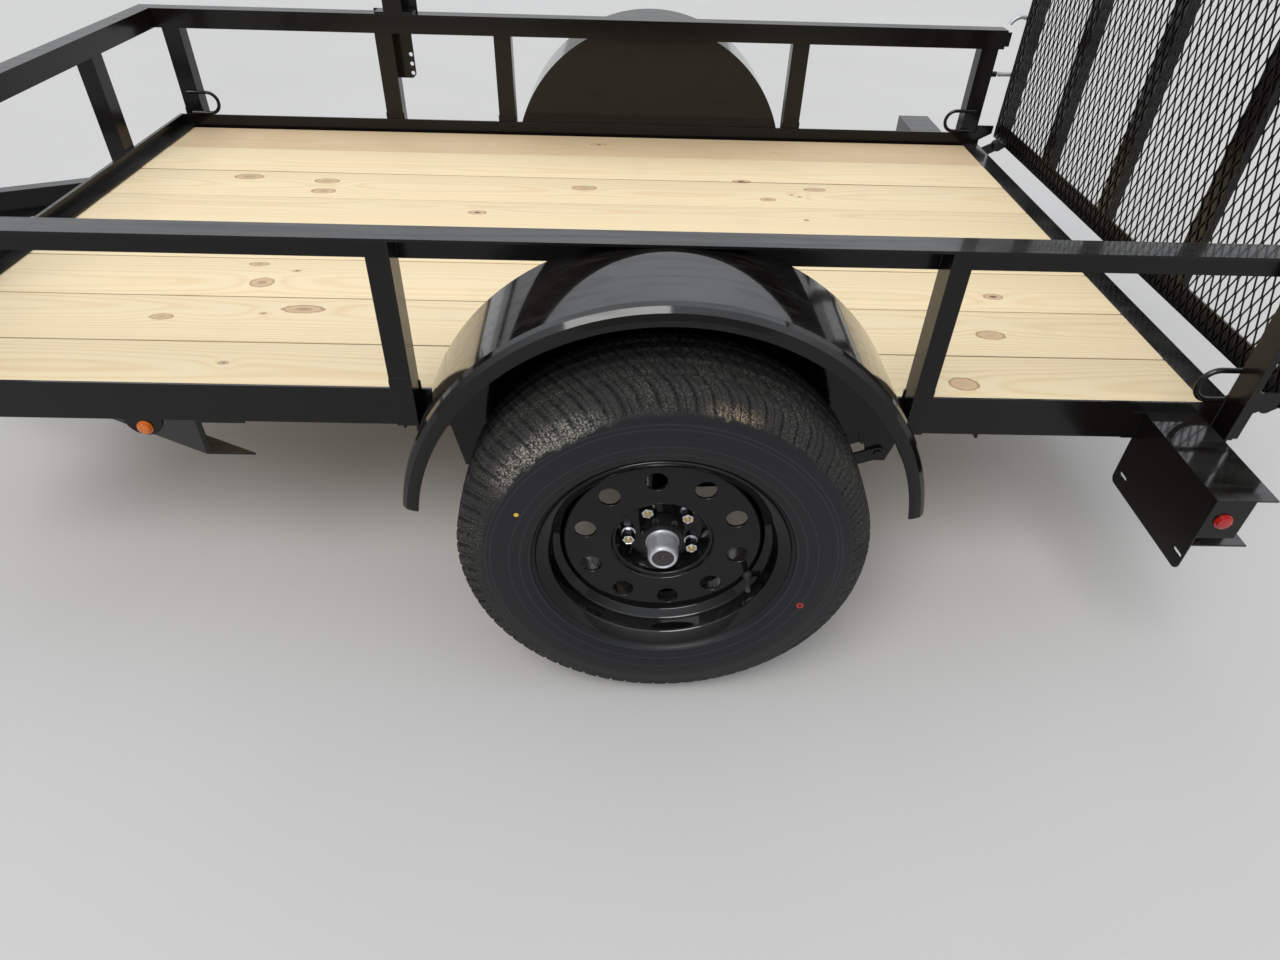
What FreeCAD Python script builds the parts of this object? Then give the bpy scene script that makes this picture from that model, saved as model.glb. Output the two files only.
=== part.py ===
"""Single-axle utility trailer with a wood deck, open steel sides and an upright ramp gate.

Frame of the part: +X to the rear, +Y to the right-hand side of the trailer, +Z up, with the
origin on the ground under the middle of the trailer. All lengths are in millimetres.
The trailer stands level on its two tyres and on the foot of its tongue jack.
"""
import FreeCAD
import Part
import math
import os

V = FreeCAD.Vector
X, Y, Z = V(1, 0, 0), V(0, 1, 0), V(0, 0, 1)

# Steel stock
STEEL = 4.76                # wall of the rolled angle and channel
SHEET = 2.6                 # wall of the pressed fenders and lamp boxes
ANGLE = 50.8                # leg of the rails, posts and gate members
FRAME_DEPTH = 76.2          # standing leg of the main frame angle

# Main frame, measured from the axle and from the ground
FRAME_WIDTH = 1524.0
FRAME_AHEAD = 1472.0        # axle to the front face of the frame
FRAME_BEHIND = 1055.0       # axle to the rear face of the frame
FRAME_TOP = 491.0
CROSS_STATIONS = (-1000.0, -480.0, 110.0, 600.0)
CROSS_DEPTH = 50.8

# Wood deck
BOARD_WIDTH = 184.15
BOARD_THICK = 38.1
BOARD_GAP = 1.6
BOARD_FRONT_GAP = 32.0        # front frame member to the ends of the boards
BOARD_REAR_GAP = 1.0
RETAINER = 38.0             # angle that holds down the front ends of the boards

# Sides
RAIL_TOP = 784.0
FRONT_POST_Y = 423.0        # front posts, off the centreline
FRONT_POST_GAP = 22.2       # corner posts, in from the ends of the frame
REAR_POST_GAP = 13.2
MIDDLE_POST = 774.0         # axle to the outward leg of the middle post, ahead
KEEPER_REACH = 12.0         # latch keeper, behind the end of the rail
KEEPER_DEPTH = 43.0
STOP_REACH = 36.0           # ear that stops the gate, behind the end of the frame side
STOP_SEAT = 15.0            # length of the ear that stands on the frame side
STOP_HEIGHT = 23.0
STOP_DROP = 20.0

# Wheels, hubs and axle
WHEEL_RADIUS = 338.0
TYRE_WIDTH = 204.0
TYRE_WALL = 14.0
TREAD_WIDTH = 128.0
WHEEL_OFFSET = 176.0        # frame side to the middle plane of the wheel
BEAD_RADIUS = 190.5
RIM_RADIUS = 208.0
RIM_WIDTH = 172.0
RIM_WALL = 4.0
DISC_WALL = 5.0
DISC_RISE = 34.0            # bolting face to the flat ring of the disc, outward
RIDGE_RADIUS = 86.0         # inner edge of that ring
DISC_EDGE = 160.0           # outer edge of that ring
VENT_COUNT = 10
VENT_CIRCLE = 131.0
VENT_RADIUS = 17.5
STUD_COUNT = 5
STUD_CIRCLE = 57.15
STUD_RADIUS = 6.35
STUD_ANGLE = 45.0           # of the first stud, up from the rear
VENT_ANGLE = 96.4
STUD_LENGTH = 42.0
NUT_HEIGHT = 20.0
NUT_RADIUS = 10.5
HUB_RADIUS = 36.0
HUB_FLANGE_RADIUS = 72.0
HUB_FLANGE_THICK = 9.0
CAP_RADIUS = 29.0
CAP_WALL = 2.5
AXLE_RADIUS = 30.0
SPINDLE_RADIUS = 17.5
SPINDLE_CLEARANCE = 0.05

# Springs under the axle
SPRING_WIDTH = 44.5
SPRING_HALF_SPAN = 330.0
SPRING_EYE_HEIGHT = 346.0
SPRING_EYE_RADIUS = 13.0
LEAF_THICK = 7.0
LEAF_STEPS = (2.0, 90.0, 150.0, 210.0)          # ends of the leaves, in from the eyes
SEAT_THICK = 6.0
SEAT_SINK = 8.0             # height of the seat's cheeks up the axle tube
SEAT_GAP = 0.1
CLAMP_LENGTH = 110.0
TIE_PLATE_THICK = 10.0
U_BOLT_RADIUS = 6.0
EYE_BOLT_RADIUS = 7.0
EAR_THICK = 5.0
EAR_GAP = 0.5
SHACKLE_X = 400.0

# Fenders
FENDER_WIDTH = 229.0
FENDER_HALF_LENGTH = 420.0
FENDER_SEAT_GAP = 0.3
FENDER_LIP = 29.0
FENDER_EDGE_RADIUS = 20.0
FENDER_POST_GAP = 2.0

# Tongue, coupler and jack
TONGUE_FLANGE = 38.0
TONGUE_ENTRY = 836.0        # axle to where the leg reaches the frame side
COUPLER_REACH = 2600.0      # axle to the nose of the coupler
COUPLER_LENGTH = 290.0      # nose to the rear edge of the coupler's plate
NOSE_TO_APEX = 126.0        # nose to where the outer faces of the legs would meet
NOSE_TO_LEGS = 170.0        # nose to the front ends of the legs
BALL_RADIUS = 25.4
SOCKET_WALL = 7.0
SOCKET_CLEARANCE = 0.4
SOCKET_SKIRT = 22.0         # middle of the ball to the lower edge of the socket
SOCKET_DROP = 6.0           # top of the tongue legs to the middle of the ball
THROAT_LENGTH = 120.0       # apex of the legs to the front edge of the coupler's plate
BRIDGE_LENGTH = 60.0
LEVER_LENGTH = 130.0
LEVER_WIDTH = 18.0
LEVER_THICK = 6.0
NOSE_TO_JACK = 355.0
JACK_PLATE_LENGTH = 124.0
JACK_TUBE_RADIUS = 28.5
JACK_TUBE_WALL = 3.5
JACK_LEG_RADIUS = 24.0
JACK_TOP = 800.0
JACK_TUBE_BOTTOM = 285.0
JACK_FOOT_HALF = 63.0
JACK_FOOT_THICK = 6.0
JACK_FOOT_RIM = 16.0
JACK_LEG_TOP = 400.0
CRANK_REACH = 170.0

# Lamp boxes and markers
BOX_STATION = 860.0         # axle to the front face of the lamp box, behind
BOX_WIDTH = 240.0
BOX_TOP = 470.6
BOX_HEIGHT = 110.0
BOX_HOOD = 98.0
TRAY_DEPTH = 106.0
CHEEK_DEPTH = 64.0
CHEEK_HEIGHT = 80.0
BOX_TAB = 22.0              # tab on the frame side, ahead of the box
PLATE_HEIGHT = 155.0
PLATE_CORNER = 12.0
SLOT_SPACING = 198.0
SLOT_MIDDLE = 125.0         # frame side to the middle of the pair of slots
SLOT_LENGTH = 24.0
SLOT_RADIUS = 3.5
SLOT_RISE = 28.0
LAMP_WIDTH = 150.0
LAMP_HEIGHT = 84.0
LAMP_DEPTH = 30.0
MARKER_RADIUS = 11.0
MARKER_LENGTH = 10.0
MARKER_SET = 28.0           # front of the lamp box to the side marker, behind
MARKER_DROP = 43.0          # top of the lamp box to the side marker, below
MARKER_AHEAD = 92.0         # where a tongue leg reaches the frame to the front marker
BRACKET_RADIUS = 34.0

# Tie-down loops on the corner posts
LOOP_BAR = 5.0
LOOP_BEND = 30.0
LOOP_STRAIGHT = 28.0        # from the edge of the post to the bend
LOOP_WELD = 30.0            # length that lies against the post
LOOP_SEAT_GAP = 0.2

# Spare wheel carrier on the right-hand rail
CARRIER_WIDTH = 101.6
CARRIER_LEAD = 4.0          # front edge of the plate, ahead of the middle post
CARRIER_STEP = 28.0         # upper part of the plate, behind the lower part
CARRIER_CORNER = 10.0
CARRIER_BOTTOM = 600.0
CARRIER_TOP = 1150.0
CARRIER_TUBE_LEAD = 45.0    # front edge of the lower part to the front of the tube
CARRIER_FOOT_LENGTH = 112.0
CARRIER_FOOT_THICK = 6.0
CARRIER_HOLE_RADIUS = 6.0
CARRIER_HOLE_PITCH = 26.3
CARRIER_HOLE_EDGE = 9.0     # middles of the holes to the rear edge of the lower part
CARRIER_HOLE_RISE = 14.0
CARRIER_STUD_SPACING = 108.7
CARRIER_STUD_RADIUS = 6.35
CARRIER_STUD_LENGTH = 45.0
CARRIER_PLATE_WIDTH = 150.0
CARRIER_PLATE_HEIGHT = 90.0

# Ramp gate
GATE_GAP = 42.0             # rear face of the frame to the mesh of the gate
GATE_BOTTOM = 481.0
GATE_HEIGHT = 1219.0
GATE_BARS = 3
GATE_BAR_PITCH = 361.0      # from the right-hand side of the gate
MESH_THICK = 3.2
MESH_COLUMNS = 11
MESH_ROWS = 10
MESH_STRAND = 12.0
PIN_RADIUS = 8.0
PIN_CLEARANCE = 0.05
PIN_STATION = 46.0          # rear face of the frame to the hinge pin
PIN_HEIGHT = 466.0
LUG_THICK = 8.0
LUG_RADIUS = 14.0
LUG_INSET = 43.0            # frame side to the middle of the frame's lug
LUG_ROOT = 425.0            # lowest point of the lug on the frame
LUG_GAP = 2.0
LATCH_HEIGHT = 661.0
LATCH_PEG_RADIUS = 8.0
LATCH_PEG_WELD = 22.0
LATCH_PEG_REACH = 17.0
LATCH_GAP = 6.0
LATCH_BOLT_RADIUS = 6.5
LATCH_CASE_LENGTH = 40.0
HANDLE_RADIUS = 6.0
HANDLE_ARCH = 33.0          # radius of the handle's arch over the end of the rail
HANDLE_TOP = 819.0          # highest point of the arch's middle line
HANDLE_SETBACK = 20.5       # hinge pin to the handle's upright leg
HANDLE_OPEN = 22.0          # degrees of the arch left out at its free end

# Places that follow from the sizes above
HALF = FRAME_WIDTH / 2
GATE_FRONT = FRAME_BEHIND + GATE_GAP
GATE_REACH = GATE_FRONT + MESH_THICK + ANGLE
AXLE_X = (COUPLER_REACH - GATE_REACH) / 2
FRONT = AXLE_X - FRAME_AHEAD
REAR = AXLE_X + FRAME_BEHIND
FRAME_BOTTOM = FRAME_TOP - FRAME_DEPTH
FLOOR = FRAME_BOTTOM + STEEL
DECK_TOP = FLOOR + BOARD_THICK
RAIL_UNDER = RAIL_TOP - STEEL
RAIL_OUT = HALF - STEEL + ANGLE
WHEEL_Y = HALF + WHEEL_OFFSET
CAP_SEAT = WHEEL_Y + 38
CAP_END = WHEEL_Y + 79
SPRING_Y = HALF - ANGLE / 2
LATCH_Y = HALF + STEEL + LATCH_PEG_RADIUS
AXLE = V(AXLE_X, 0, WHEEL_RADIUS)
NOSE = AXLE_X - COUPLER_REACH
APEX = NOSE + NOSE_TO_APEX
ENTRY = AXLE_X - TONGUE_ENTRY
TONGUE_SLOPE = HALF / (ENTRY - APEX)
JACK_X = NOSE + NOSE_TO_JACK
MARKER_X = ENTRY - MARKER_AHEAD
CARRIER_X = AXLE_X - MIDDLE_POST - ANGLE - CARRIER_LEAD
SEAT_UNDER = WHEEL_RADIUS - AXLE_RADIUS - SEAT_THICK
POST_FACE = FENDER_HALF_LENGTH + FENDER_POST_GAP

# Side posts: name, x of the leg that stands outward, and which way the flat leg runs from it
SIDE_POSTS = (
    ("front corner", FRONT + FRONT_POST_GAP + ANGLE, -1),
    ("middle", AXLE_X - MIDDLE_POST, -1),
    ("before the fender", AXLE_X - POST_FACE, -1),
    ("behind the fender", AXLE_X + POST_FACE, 1),
    ("rear corner", REAR - REAR_POST_GAP - ANGLE, 1),
)


def block(x0, x1, y0, y1, z0, z1):
    """Box between two corners given as ranges along each axis."""
    return Part.makeBox(x1 - x0, y1 - y0, z1 - z0, V(x0, y0, z0))


def rod(start, axis, radius, length):
    """Round bar from a point along a direction."""
    return Part.makeCylinder(radius, length, start, axis)


def face_of(points):
    """Flat face inside a closed line of points."""
    return Part.Face(Part.makePolygon(list(points) + [points[0]]))


def plan(points, z0, z1):
    """Solid with the given outline seen from above."""
    return face_of([V(x, y, z0) for x, y in points]).extrude(Z * (z1 - z0))


def side_view(points, y0, y1):
    """Solid with the given outline in x and z, as thick as the range of y."""
    return face_of([V(x, y0, z) for x, z in points]).extrude(Y * (y1 - y0))


def fused(shapes):
    """One solid from pieces that touch or overlap."""
    first, *rest = shapes
    return first.fuse(rest).removeSplitter() if rest else first


def mirrored(shape):
    """The same piece on the other side of the trailer."""
    return shape.mirror(V(0, 0, 0), Y)


def both_sides(shape):
    return [shape, mirrored(shape)]


def ring_profile(points, centre, turn=360.0, start=0.0):
    """Solid turned about the Y axis through a centre, from points of radius and y."""
    profile = face_of([centre + V(r, y - centre.y, 0) for r, y in points])
    if start:
        profile.rotate(centre, Y, -start)
    return profile.revolve(centre, Y, -turn)


def save(name, shapes):
    """Write one node: a solid, or like solids that don't touch."""
    solids = [solid for shape in shapes for solid in shape.Solids]
    shape = solids[0] if len(solids) == 1 else Part.makeCompound(solids)
    shape.exportStep("parts/" + name + ".step")


def frame_side():
    """Main frame angle of the right-hand side, with the ear behind it that stops the gate."""
    standing = block(FRONT, REAR, HALF - STEEL, HALF, FRAME_BOTTOM, FRAME_TOP)
    flat = block(FRONT, REAR, HALF - ANGLE, HALF, FRAME_BOTTOM, FLOOR)
    tip = REAR + STOP_REACH
    ear = side_view([(REAR, FRAME_TOP - STOP_DROP), (tip, FRAME_TOP), (tip, FRAME_TOP + STOP_HEIGHT),
                     (REAR - STOP_SEAT, FRAME_TOP + STOP_HEIGHT), (REAR - STOP_SEAT, FRAME_TOP),
                     (REAR, FRAME_TOP)], HALF - STEEL, HALF)
    return fused([standing, flat, ear])


def frame_front():
    """Front frame angle, coped over the flat legs of the two sides."""
    inner = HALF - STEEL
    under = HALF - ANGLE
    standing = block(FRONT, FRONT + STEEL, -inner, inner, FLOOR, FRAME_TOP)
    flat = block(FRONT, FRONT + ANGLE, -under, under, FRAME_BOTTOM, FLOOR)
    return fused([standing, flat])


def frame_rear():
    """Rear angle, flush with the deck, its standing leg facing the gate."""
    inner = HALF - STEEL
    under = HALF - ANGLE
    cover = block(REAR - ANGLE, REAR, -inner, inner, DECK_TOP - STEEL, DECK_TOP)
    upper = block(REAR - STEEL, REAR, -inner, inner, FLOOR, DECK_TOP)
    lower = block(REAR - STEEL, REAR, -under, under, DECK_TOP - FRAME_DEPTH, FLOOR)
    return fused([cover, upper, lower])


def crossmembers():
    """Angles under the boards, notched over the legs of the tongue where they cross them."""
    under = HALF - ANGLE
    notches = both_sides(leg_strip(TONGUE_FLANGE, FRAME_BOTTOM - FRAME_DEPTH, FRAME_BOTTOM))
    bars = []
    for station in CROSS_STATIONS:
        x = AXLE_X + station
        flat = block(x, x + ANGLE, -under, under, FRAME_BOTTOM, FLOOR)
        web = block(x, x + STEEL, -under, under, FLOOR - CROSS_DEPTH, FLOOR)
        bars.append(fused([flat, web]).cut(notches))
    return bars


def deck_boards():
    """Boards side by side, butted to the rear angle and held under the front retainer."""
    rear = REAR - ANGLE - BOARD_REAR_GAP
    front = FRONT + STEEL + BOARD_FRONT_GAP
    pitch = BOARD_WIDTH + BOARD_GAP
    count = int((2 * (HALF - STEEL) + BOARD_GAP) / pitch)
    start = -(count * pitch - BOARD_GAP) / 2
    return [block(front, rear, start + i * pitch, start + i * pitch + BOARD_WIDTH, FLOOR, DECK_TOP)
            for i in range(count)]


def board_retainer():
    """Angle along the inside of the front frame member, over the ends of the boards."""
    inner = HALF - STEEL
    x = FRONT + STEEL
    flat = block(x, x + RETAINER, -inner, inner, DECK_TOP, DECK_TOP + STEEL)
    standing = block(x, x + STEEL, -inner, inner, DECK_TOP, FRAME_TOP)
    return fused([flat, standing])


def side_rail():
    """Top rail of the right-hand side, mitred in front, with a latch keeper behind."""
    inner = HALF - STEEL
    top = plan([(REAR, inner), (REAR, RAIL_OUT), (FRONT - ANGLE + STEEL, RAIL_OUT),
                (FRONT + STEEL, inner)], RAIL_UNDER, RAIL_TOP)
    hanging = block(FRONT, REAR, inner, HALF, RAIL_TOP - ANGLE, RAIL_UNDER)
    keeper = block(REAR, REAR + KEEPER_REACH, inner, HALF, RAIL_TOP - KEEPER_DEPTH, RAIL_UNDER)
    return fused([top, hanging, keeper])


def front_rail():
    """Top rail of the front, mitred at both ends."""
    inner = HALF - STEEL
    nose = FRONT - ANGLE + STEEL
    top = plan([(FRONT + STEEL, -inner), (FRONT + STEEL, inner), (nose, RAIL_OUT),
                (nose, -RAIL_OUT)], RAIL_UNDER, RAIL_TOP)
    hanging = block(FRONT, FRONT + STEEL, -inner, inner, RAIL_TOP - ANGLE, RAIL_UNDER)
    return fused([top, hanging])


def side_posts(left_out=None):
    """Angle posts that lap the outside of the frame and of the rail's hanging leg."""
    posts = []
    for name, x, way in SIDE_POSTS:
        if name == left_out:
            continue
        near, far = sorted((x, x + way * ANGLE))
        edge, back = sorted((x, x + way * STEEL))
        flat = block(near, far, HALF, HALF + STEEL, FRAME_BOTTOM, RAIL_UNDER)
        outward = block(edge, back, HALF, RAIL_OUT, FRAME_BOTTOM, RAIL_UNDER)
        posts.append(fused([flat, outward]))
    return posts


def front_posts():
    """Two angle posts on the front of the trailer."""
    nose = FRONT - ANGLE + STEEL
    low = FRONT_POST_Y - ANGLE / 2
    flat = block(FRONT - STEEL, FRONT, low, low + ANGLE, FRAME_BOTTOM, RAIL_UNDER)
    outward = block(nose, FRONT, low, low + STEEL, FRAME_BOTTOM, RAIL_UNDER)
    return both_sides(fused([flat, outward]))


def fender_arc():
    """Centre height and radius of the fender, from its crown and its half length."""
    crown = RAIL_UNDER - FENDER_SEAT_GAP
    rise = crown - FRAME_BOTTOM
    radius = (rise ** 2 + FENDER_HALF_LENGTH ** 2) / (2 * rise)
    return crown - radius, radius


def fender():
    """Round fender: a curved skin with a rolled lip, and a plate against the frame."""
    height, radius = fender_arc()
    centre = V(AXLE_X, 0, height)
    drop = math.degrees(math.asin((FRAME_BOTTOM - height) / radius))
    out = HALF + FENDER_WIDTH
    edge = FENDER_EDGE_RADIUS
    turns = [math.radians(degrees) for degrees in (0, 30, 60, 90)]
    outside, inside = [[(radius - edge + bend * math.sin(turn), out - edge + bend * math.cos(turn))
                        for turn in turns] for bend in (edge, edge - SHEET)]
    profile = [(radius, HALF), *reversed(outside), (radius - FENDER_LIP, out),
               (radius - FENDER_LIP, out - SHEET), *inside, (radius - SHEET, HALF)]
    skin = ring_profile(profile, centre, 180 - 2 * drop, drop)
    chord = FENDER_HALF_LENGTH
    arc = Part.Arc(V(AXLE_X - chord, HALF, FRAME_BOTTOM), V(AXLE_X, HALF, height + radius),
                   V(AXLE_X + chord, HALF, FRAME_BOTTOM)).toShape()
    base = Part.makeLine(V(AXLE_X + chord, HALF, FRAME_BOTTOM), V(AXLE_X - chord, HALF, FRAME_BOTTOM))
    back = Part.Face(Part.Wire([arc, base])).extrude(Y * SHEET)
    return fused([skin, back])


def tyre():
    """Hollow tyre of the right-hand wheel, with bulging sidewalls and round shoulders."""
    half = TYRE_WIDTH / 2
    bead = RIM_WIDTH / 2 - RIM_WALL - 10
    wall = TYRE_WALL
    shoulder = [(BEAD_RADIUS, -bead), (RIM_RADIUS + 24, -half + 8), (WHEEL_RADIUS - 72, -half),
                (WHEEL_RADIUS - 36, -half + 6), (WHEEL_RADIUS - 7, -half + 25),
                (WHEEL_RADIUS, -TREAD_WIDTH / 2)]
    lining = [(BEAD_RADIUS, -bead + wall), (RIM_RADIUS + 40, -half + wall + 2),
              (WHEEL_RADIUS - wall - 10, -half + wall + 26)]
    outer = shoulder + [(r, -y) for r, y in reversed(shoulder)]
    inner = [(r, -y) for r, y in lining] + list(reversed(lining))
    return ring_profile([(r, WHEEL_Y + y) for r, y in outer + inner], AXLE)


def rim():
    """Steel wheel: a drop-centre rim and a dished disc with a ring of round holes."""
    half = RIM_WIDTH / 2
    seat = BEAD_RADIUS
    well = seat - 18
    wall = RIM_WALL
    shell = [(RIM_RADIUS, half), (RIM_RADIUS, half - wall), (seat, half - 14), (seat - 2, half - 40),
             (well, half - 52), (well, -half + 62), (seat - 2, -half + 50), (seat, -half + 14),
             (RIM_RADIUS, -half + wall), (RIM_RADIUS, -half), (RIM_RADIUS - 5, -half),
             (seat - wall, -half + 11), (seat - wall - 2, -half + 48), (well - wall, -half + 62),
             (well - wall, half - 54), (seat - wall - 2, half - 42), (seat - wall, half - 11),
             (RIM_RADIUS - 5, half)]
    rise, foot = DISC_RISE, RIDGE_RADIUS - 16
    face = [(HUB_RADIUS + 1, 0), (foot, 0), (RIDGE_RADIUS - 5, rise - 6), (RIDGE_RADIUS, rise),
            (DISC_EDGE - 3, rise), (DISC_EDGE + 3, rise - 6), (well - wall, 2)]
    back = [(r - 1, y) for r, y in reversed(face)]
    disc = [(r, y + DISC_WALL) for r, y in face] + [(well - wall, -2)] + back[1:-1] + [face[0]]
    barrel = ring_profile([(r, WHEEL_Y + y) for r, y in shell], AXLE)
    plate = ring_profile([(r, WHEEL_Y + y) for r, y in disc], AXLE)
    for i in range(VENT_COUNT):
        hole = around(i, VENT_COUNT, VENT_ANGLE, VENT_CIRCLE, VENT_RADIUS, WHEEL_Y - 5, 60)
        plate = plate.cut(hole)
    for i in range(STUD_COUNT):
        hole = around(i, STUD_COUNT, STUD_ANGLE, STUD_CIRCLE, STUD_RADIUS + 0.5, WHEEL_Y - 5, 30)
        plate = plate.cut(hole)
    return fused([barrel, plate])


def around(index, count, first, circle, radius, y, length):
    """Round bar along Y, one of a ring about the axle."""
    angle = 2 * math.pi * index / count + math.radians(first)
    start = V(AXLE.x + circle * math.cos(angle), y, AXLE.z + circle * math.sin(angle))
    return rod(start, Y, radius, length)


def hub():
    """Hub that runs on the spindle, with the flange that the wheel is bolted to."""
    bore = SPINDLE_RADIUS + SPINDLE_CLEARANCE
    flange = WHEEL_Y - HUB_FLANGE_THICK
    body = [(bore, WHEEL_Y - 52), (HUB_RADIUS + 4, WHEEL_Y - 52), (HUB_RADIUS, flange),
            (HUB_FLANGE_RADIUS, flange), (HUB_FLANGE_RADIUS, WHEEL_Y), (HUB_RADIUS, WHEEL_Y),
            (HUB_RADIUS, CAP_SEAT), (bore, CAP_SEAT)]
    return ring_profile(body, AXLE)


def dust_cap():
    """Cap over the end of the spindle, with a collar against the hub."""
    collar = CAP_RADIUS + 3
    cup = [(CAP_RADIUS - CAP_WALL, CAP_SEAT), (collar, CAP_SEAT), (collar, CAP_SEAT + 8),
           (CAP_RADIUS, CAP_SEAT + 10), (CAP_RADIUS, CAP_END - 10), (CAP_RADIUS - 6, CAP_END),
           (0, CAP_END), (0, CAP_END - CAP_WALL), (CAP_RADIUS - 8, CAP_END - CAP_WALL),
           (CAP_RADIUS - CAP_WALL, CAP_END - 12)]
    return ring_profile(cup, AXLE)


def lug_nuts():
    """Studs of the hub with a hexagonal nut on each."""
    nuts = []
    for i in range(STUD_COUNT):
        stud = around(i, STUD_COUNT, STUD_ANGLE, STUD_CIRCLE, STUD_RADIUS, WHEEL_Y, STUD_LENGTH)
        angle = 2 * math.pi * i / STUD_COUNT + math.radians(STUD_ANGLE)
        cx = AXLE.x + STUD_CIRCLE * math.cos(angle)
        cz = AXLE.z + STUD_CIRCLE * math.sin(angle)
        corners = [(cx + NUT_RADIUS * math.cos(k * math.pi / 3), cz + NUT_RADIUS * math.sin(k * math.pi / 3))
                   for k in range(6)]
        hexagon = side_view(corners, WHEEL_Y + DISC_WALL, WHEEL_Y + DISC_WALL + NUT_HEIGHT)
        nuts.append(fused([stud, hexagon]))
    return nuts


def axle():
    """Straight tube with a stepped spindle at each end, and its two spring seats."""
    shoulder = WHEEL_Y - 62
    tip = CAP_SEAT + 12
    tube = rod(V(AXLE_X, -shoulder, AXLE.z), Y, AXLE_RADIUS, 2 * shoulder)
    spindle = rod(V(AXLE_X, -tip, AXLE.z), Y, SPINDLE_RADIUS, 2 * tip)
    low, high = SPRING_Y - SPRING_WIDTH / 2, SPRING_Y + SPRING_WIDTH / 2
    half = CLAMP_LENGTH / 2
    seat = block(AXLE_X - half, AXLE_X + half, low, high, SEAT_UNDER, AXLE.z - AXLE_RADIUS + SEAT_SINK)
    centre, radius = spring_arc()
    seat = seat.common(rod(V(centre.x, low, centre.z), Y, radius - LEAF_THICK - SEAT_GAP, SPRING_WIDTH))
    return fused([tube, spindle, *both_sides(seat)])


def spring_arc():
    """Centre and radius of the underside of the main leaf, which just clears its eyes."""
    low = SEAT_UNDER - LEAF_THICK
    rise = SPRING_EYE_HEIGHT - SPRING_EYE_RADIUS - low
    radius = (SPRING_HALF_SPAN ** 2 + rise ** 2) / (2 * rise)
    return V(AXLE_X, SPRING_Y, low + radius), radius


def spring():
    """Stack of curved leaves under the axle, the longest with an eye at each end."""
    centre, radius = spring_arc()
    leaves = [leaf(centre, radius + i * LEAF_THICK, SPRING_HALF_SPAN - step)
              for i, step in enumerate(LEAF_STEPS)]
    eyes = []
    for way in (-1, 1):
        start = V(AXLE_X + way * SPRING_HALF_SPAN, SPRING_Y - SPRING_WIDTH / 2, SPRING_EYE_HEIGHT)
        eyes.append(rod(start, Y, SPRING_EYE_RADIUS, SPRING_WIDTH))
    bores = [rod(V(AXLE_X + way * SPRING_HALF_SPAN, SPRING_Y - SPRING_WIDTH / 2, SPRING_EYE_HEIGHT), Y,
                 EYE_BOLT_RADIUS, SPRING_WIDTH) for way in (-1, 1)]
    return fused(leaves + eyes).cut(bores)


def leaf(centre, radius, half):
    """One leaf: a band between two arcs about a common centre."""
    sweep = math.asin(half / radius)
    inner = radius - LEAF_THICK
    low, high = [], []
    for turn in (-sweep, 0.0, sweep):
        low.append(centre + V(radius * math.sin(turn), 0, -radius * math.cos(turn)))
        high.append(centre + V(inner * math.sin(turn), 0, -inner * math.cos(turn)))
    edges = [Part.Arc(*low).toShape(), Part.makeLine(low[2], high[2]),
             Part.Arc(*reversed(high)).toShape(), Part.makeLine(high[0], low[0])]
    band = Part.Face(Part.Wire(edges))
    band.translate(V(0, -SPRING_WIDTH / 2, 0))
    return band.extrude(Y * SPRING_WIDTH)


def spring_clamp():
    """Tie plate under the leaves and two U-bolts over the axle."""
    pack_bottom = SEAT_UNDER - len(LEAF_STEPS) * LEAF_THICK
    reach = SPRING_WIDTH / 2 + U_BOLT_RADIUS + 1
    plate = block(AXLE_X - CLAMP_LENGTH / 2, AXLE_X + CLAMP_LENGTH / 2, SPRING_Y - reach - 12,
                  SPRING_Y + reach + 12, pack_bottom - TIE_PLATE_THICK, pack_bottom)
    pieces = [plate]
    arch = AXLE.z + AXLE_RADIUS + U_BOLT_RADIUS
    for x in (AXLE_X - 38, AXLE_X + 38):
        for y in (SPRING_Y - reach, SPRING_Y + reach):
            pieces.append(rod(V(x, y, pack_bottom - TIE_PLATE_THICK - 22), Z, U_BOLT_RADIUS,
                              arch - pack_bottom + TIE_PLATE_THICK + 22))
            pieces.append(rod(V(x, y, pack_bottom - TIE_PLATE_THICK - 10), Z, 10, 10))
        pieces.append(rod(V(x, SPRING_Y - reach, arch), Y, U_BOLT_RADIUS, 2 * reach))
    for y in (SPRING_Y - reach, SPRING_Y + reach):
        pieces.append(rod(V(AXLE_X - 38, y, arch), X, U_BOLT_RADIUS, 76))
    return fused(pieces)


def hanger_front():
    """Bracket that holds the front eye of the spring under the frame."""
    x = AXLE_X - SPRING_HALF_SPAN
    outline = [(x - 48, FRAME_BOTTOM), (x - 30, SPRING_EYE_HEIGHT - 20), (x + 20, SPRING_EYE_HEIGHT - 20),
               (x + 34, FRAME_BOTTOM)]
    return ears(outline, x, SPRING_EYE_HEIGHT)


def hanger_rear():
    """Bracket that holds the shackle at the rear of the spring."""
    x = AXLE_X + SHACKLE_X
    outline = [(x - 34, FRAME_BOTTOM), (x - 16, FRAME_BOTTOM - 62), (x + 18, FRAME_BOTTOM - 62),
               (x + 36, FRAME_BOTTOM)]
    return ears(outline, x, FRAME_BOTTOM - 42)


def ears(outline, bolt_x, bolt_z):
    """Two plates under the frame with a bolt through them."""
    inner = SPRING_WIDTH / 2 + EAR_GAP
    plates = [side_view(outline, SPRING_Y - inner - EAR_THICK, SPRING_Y - inner),
              side_view(outline, SPRING_Y + inner, SPRING_Y + inner + EAR_THICK)]
    bolt = rod(V(bolt_x, SPRING_Y - inner - EAR_THICK - 8, bolt_z), Y, EYE_BOLT_RADIUS,
               2 * (inner + EAR_THICK + 8))
    return fused(plates + [bolt])


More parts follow.
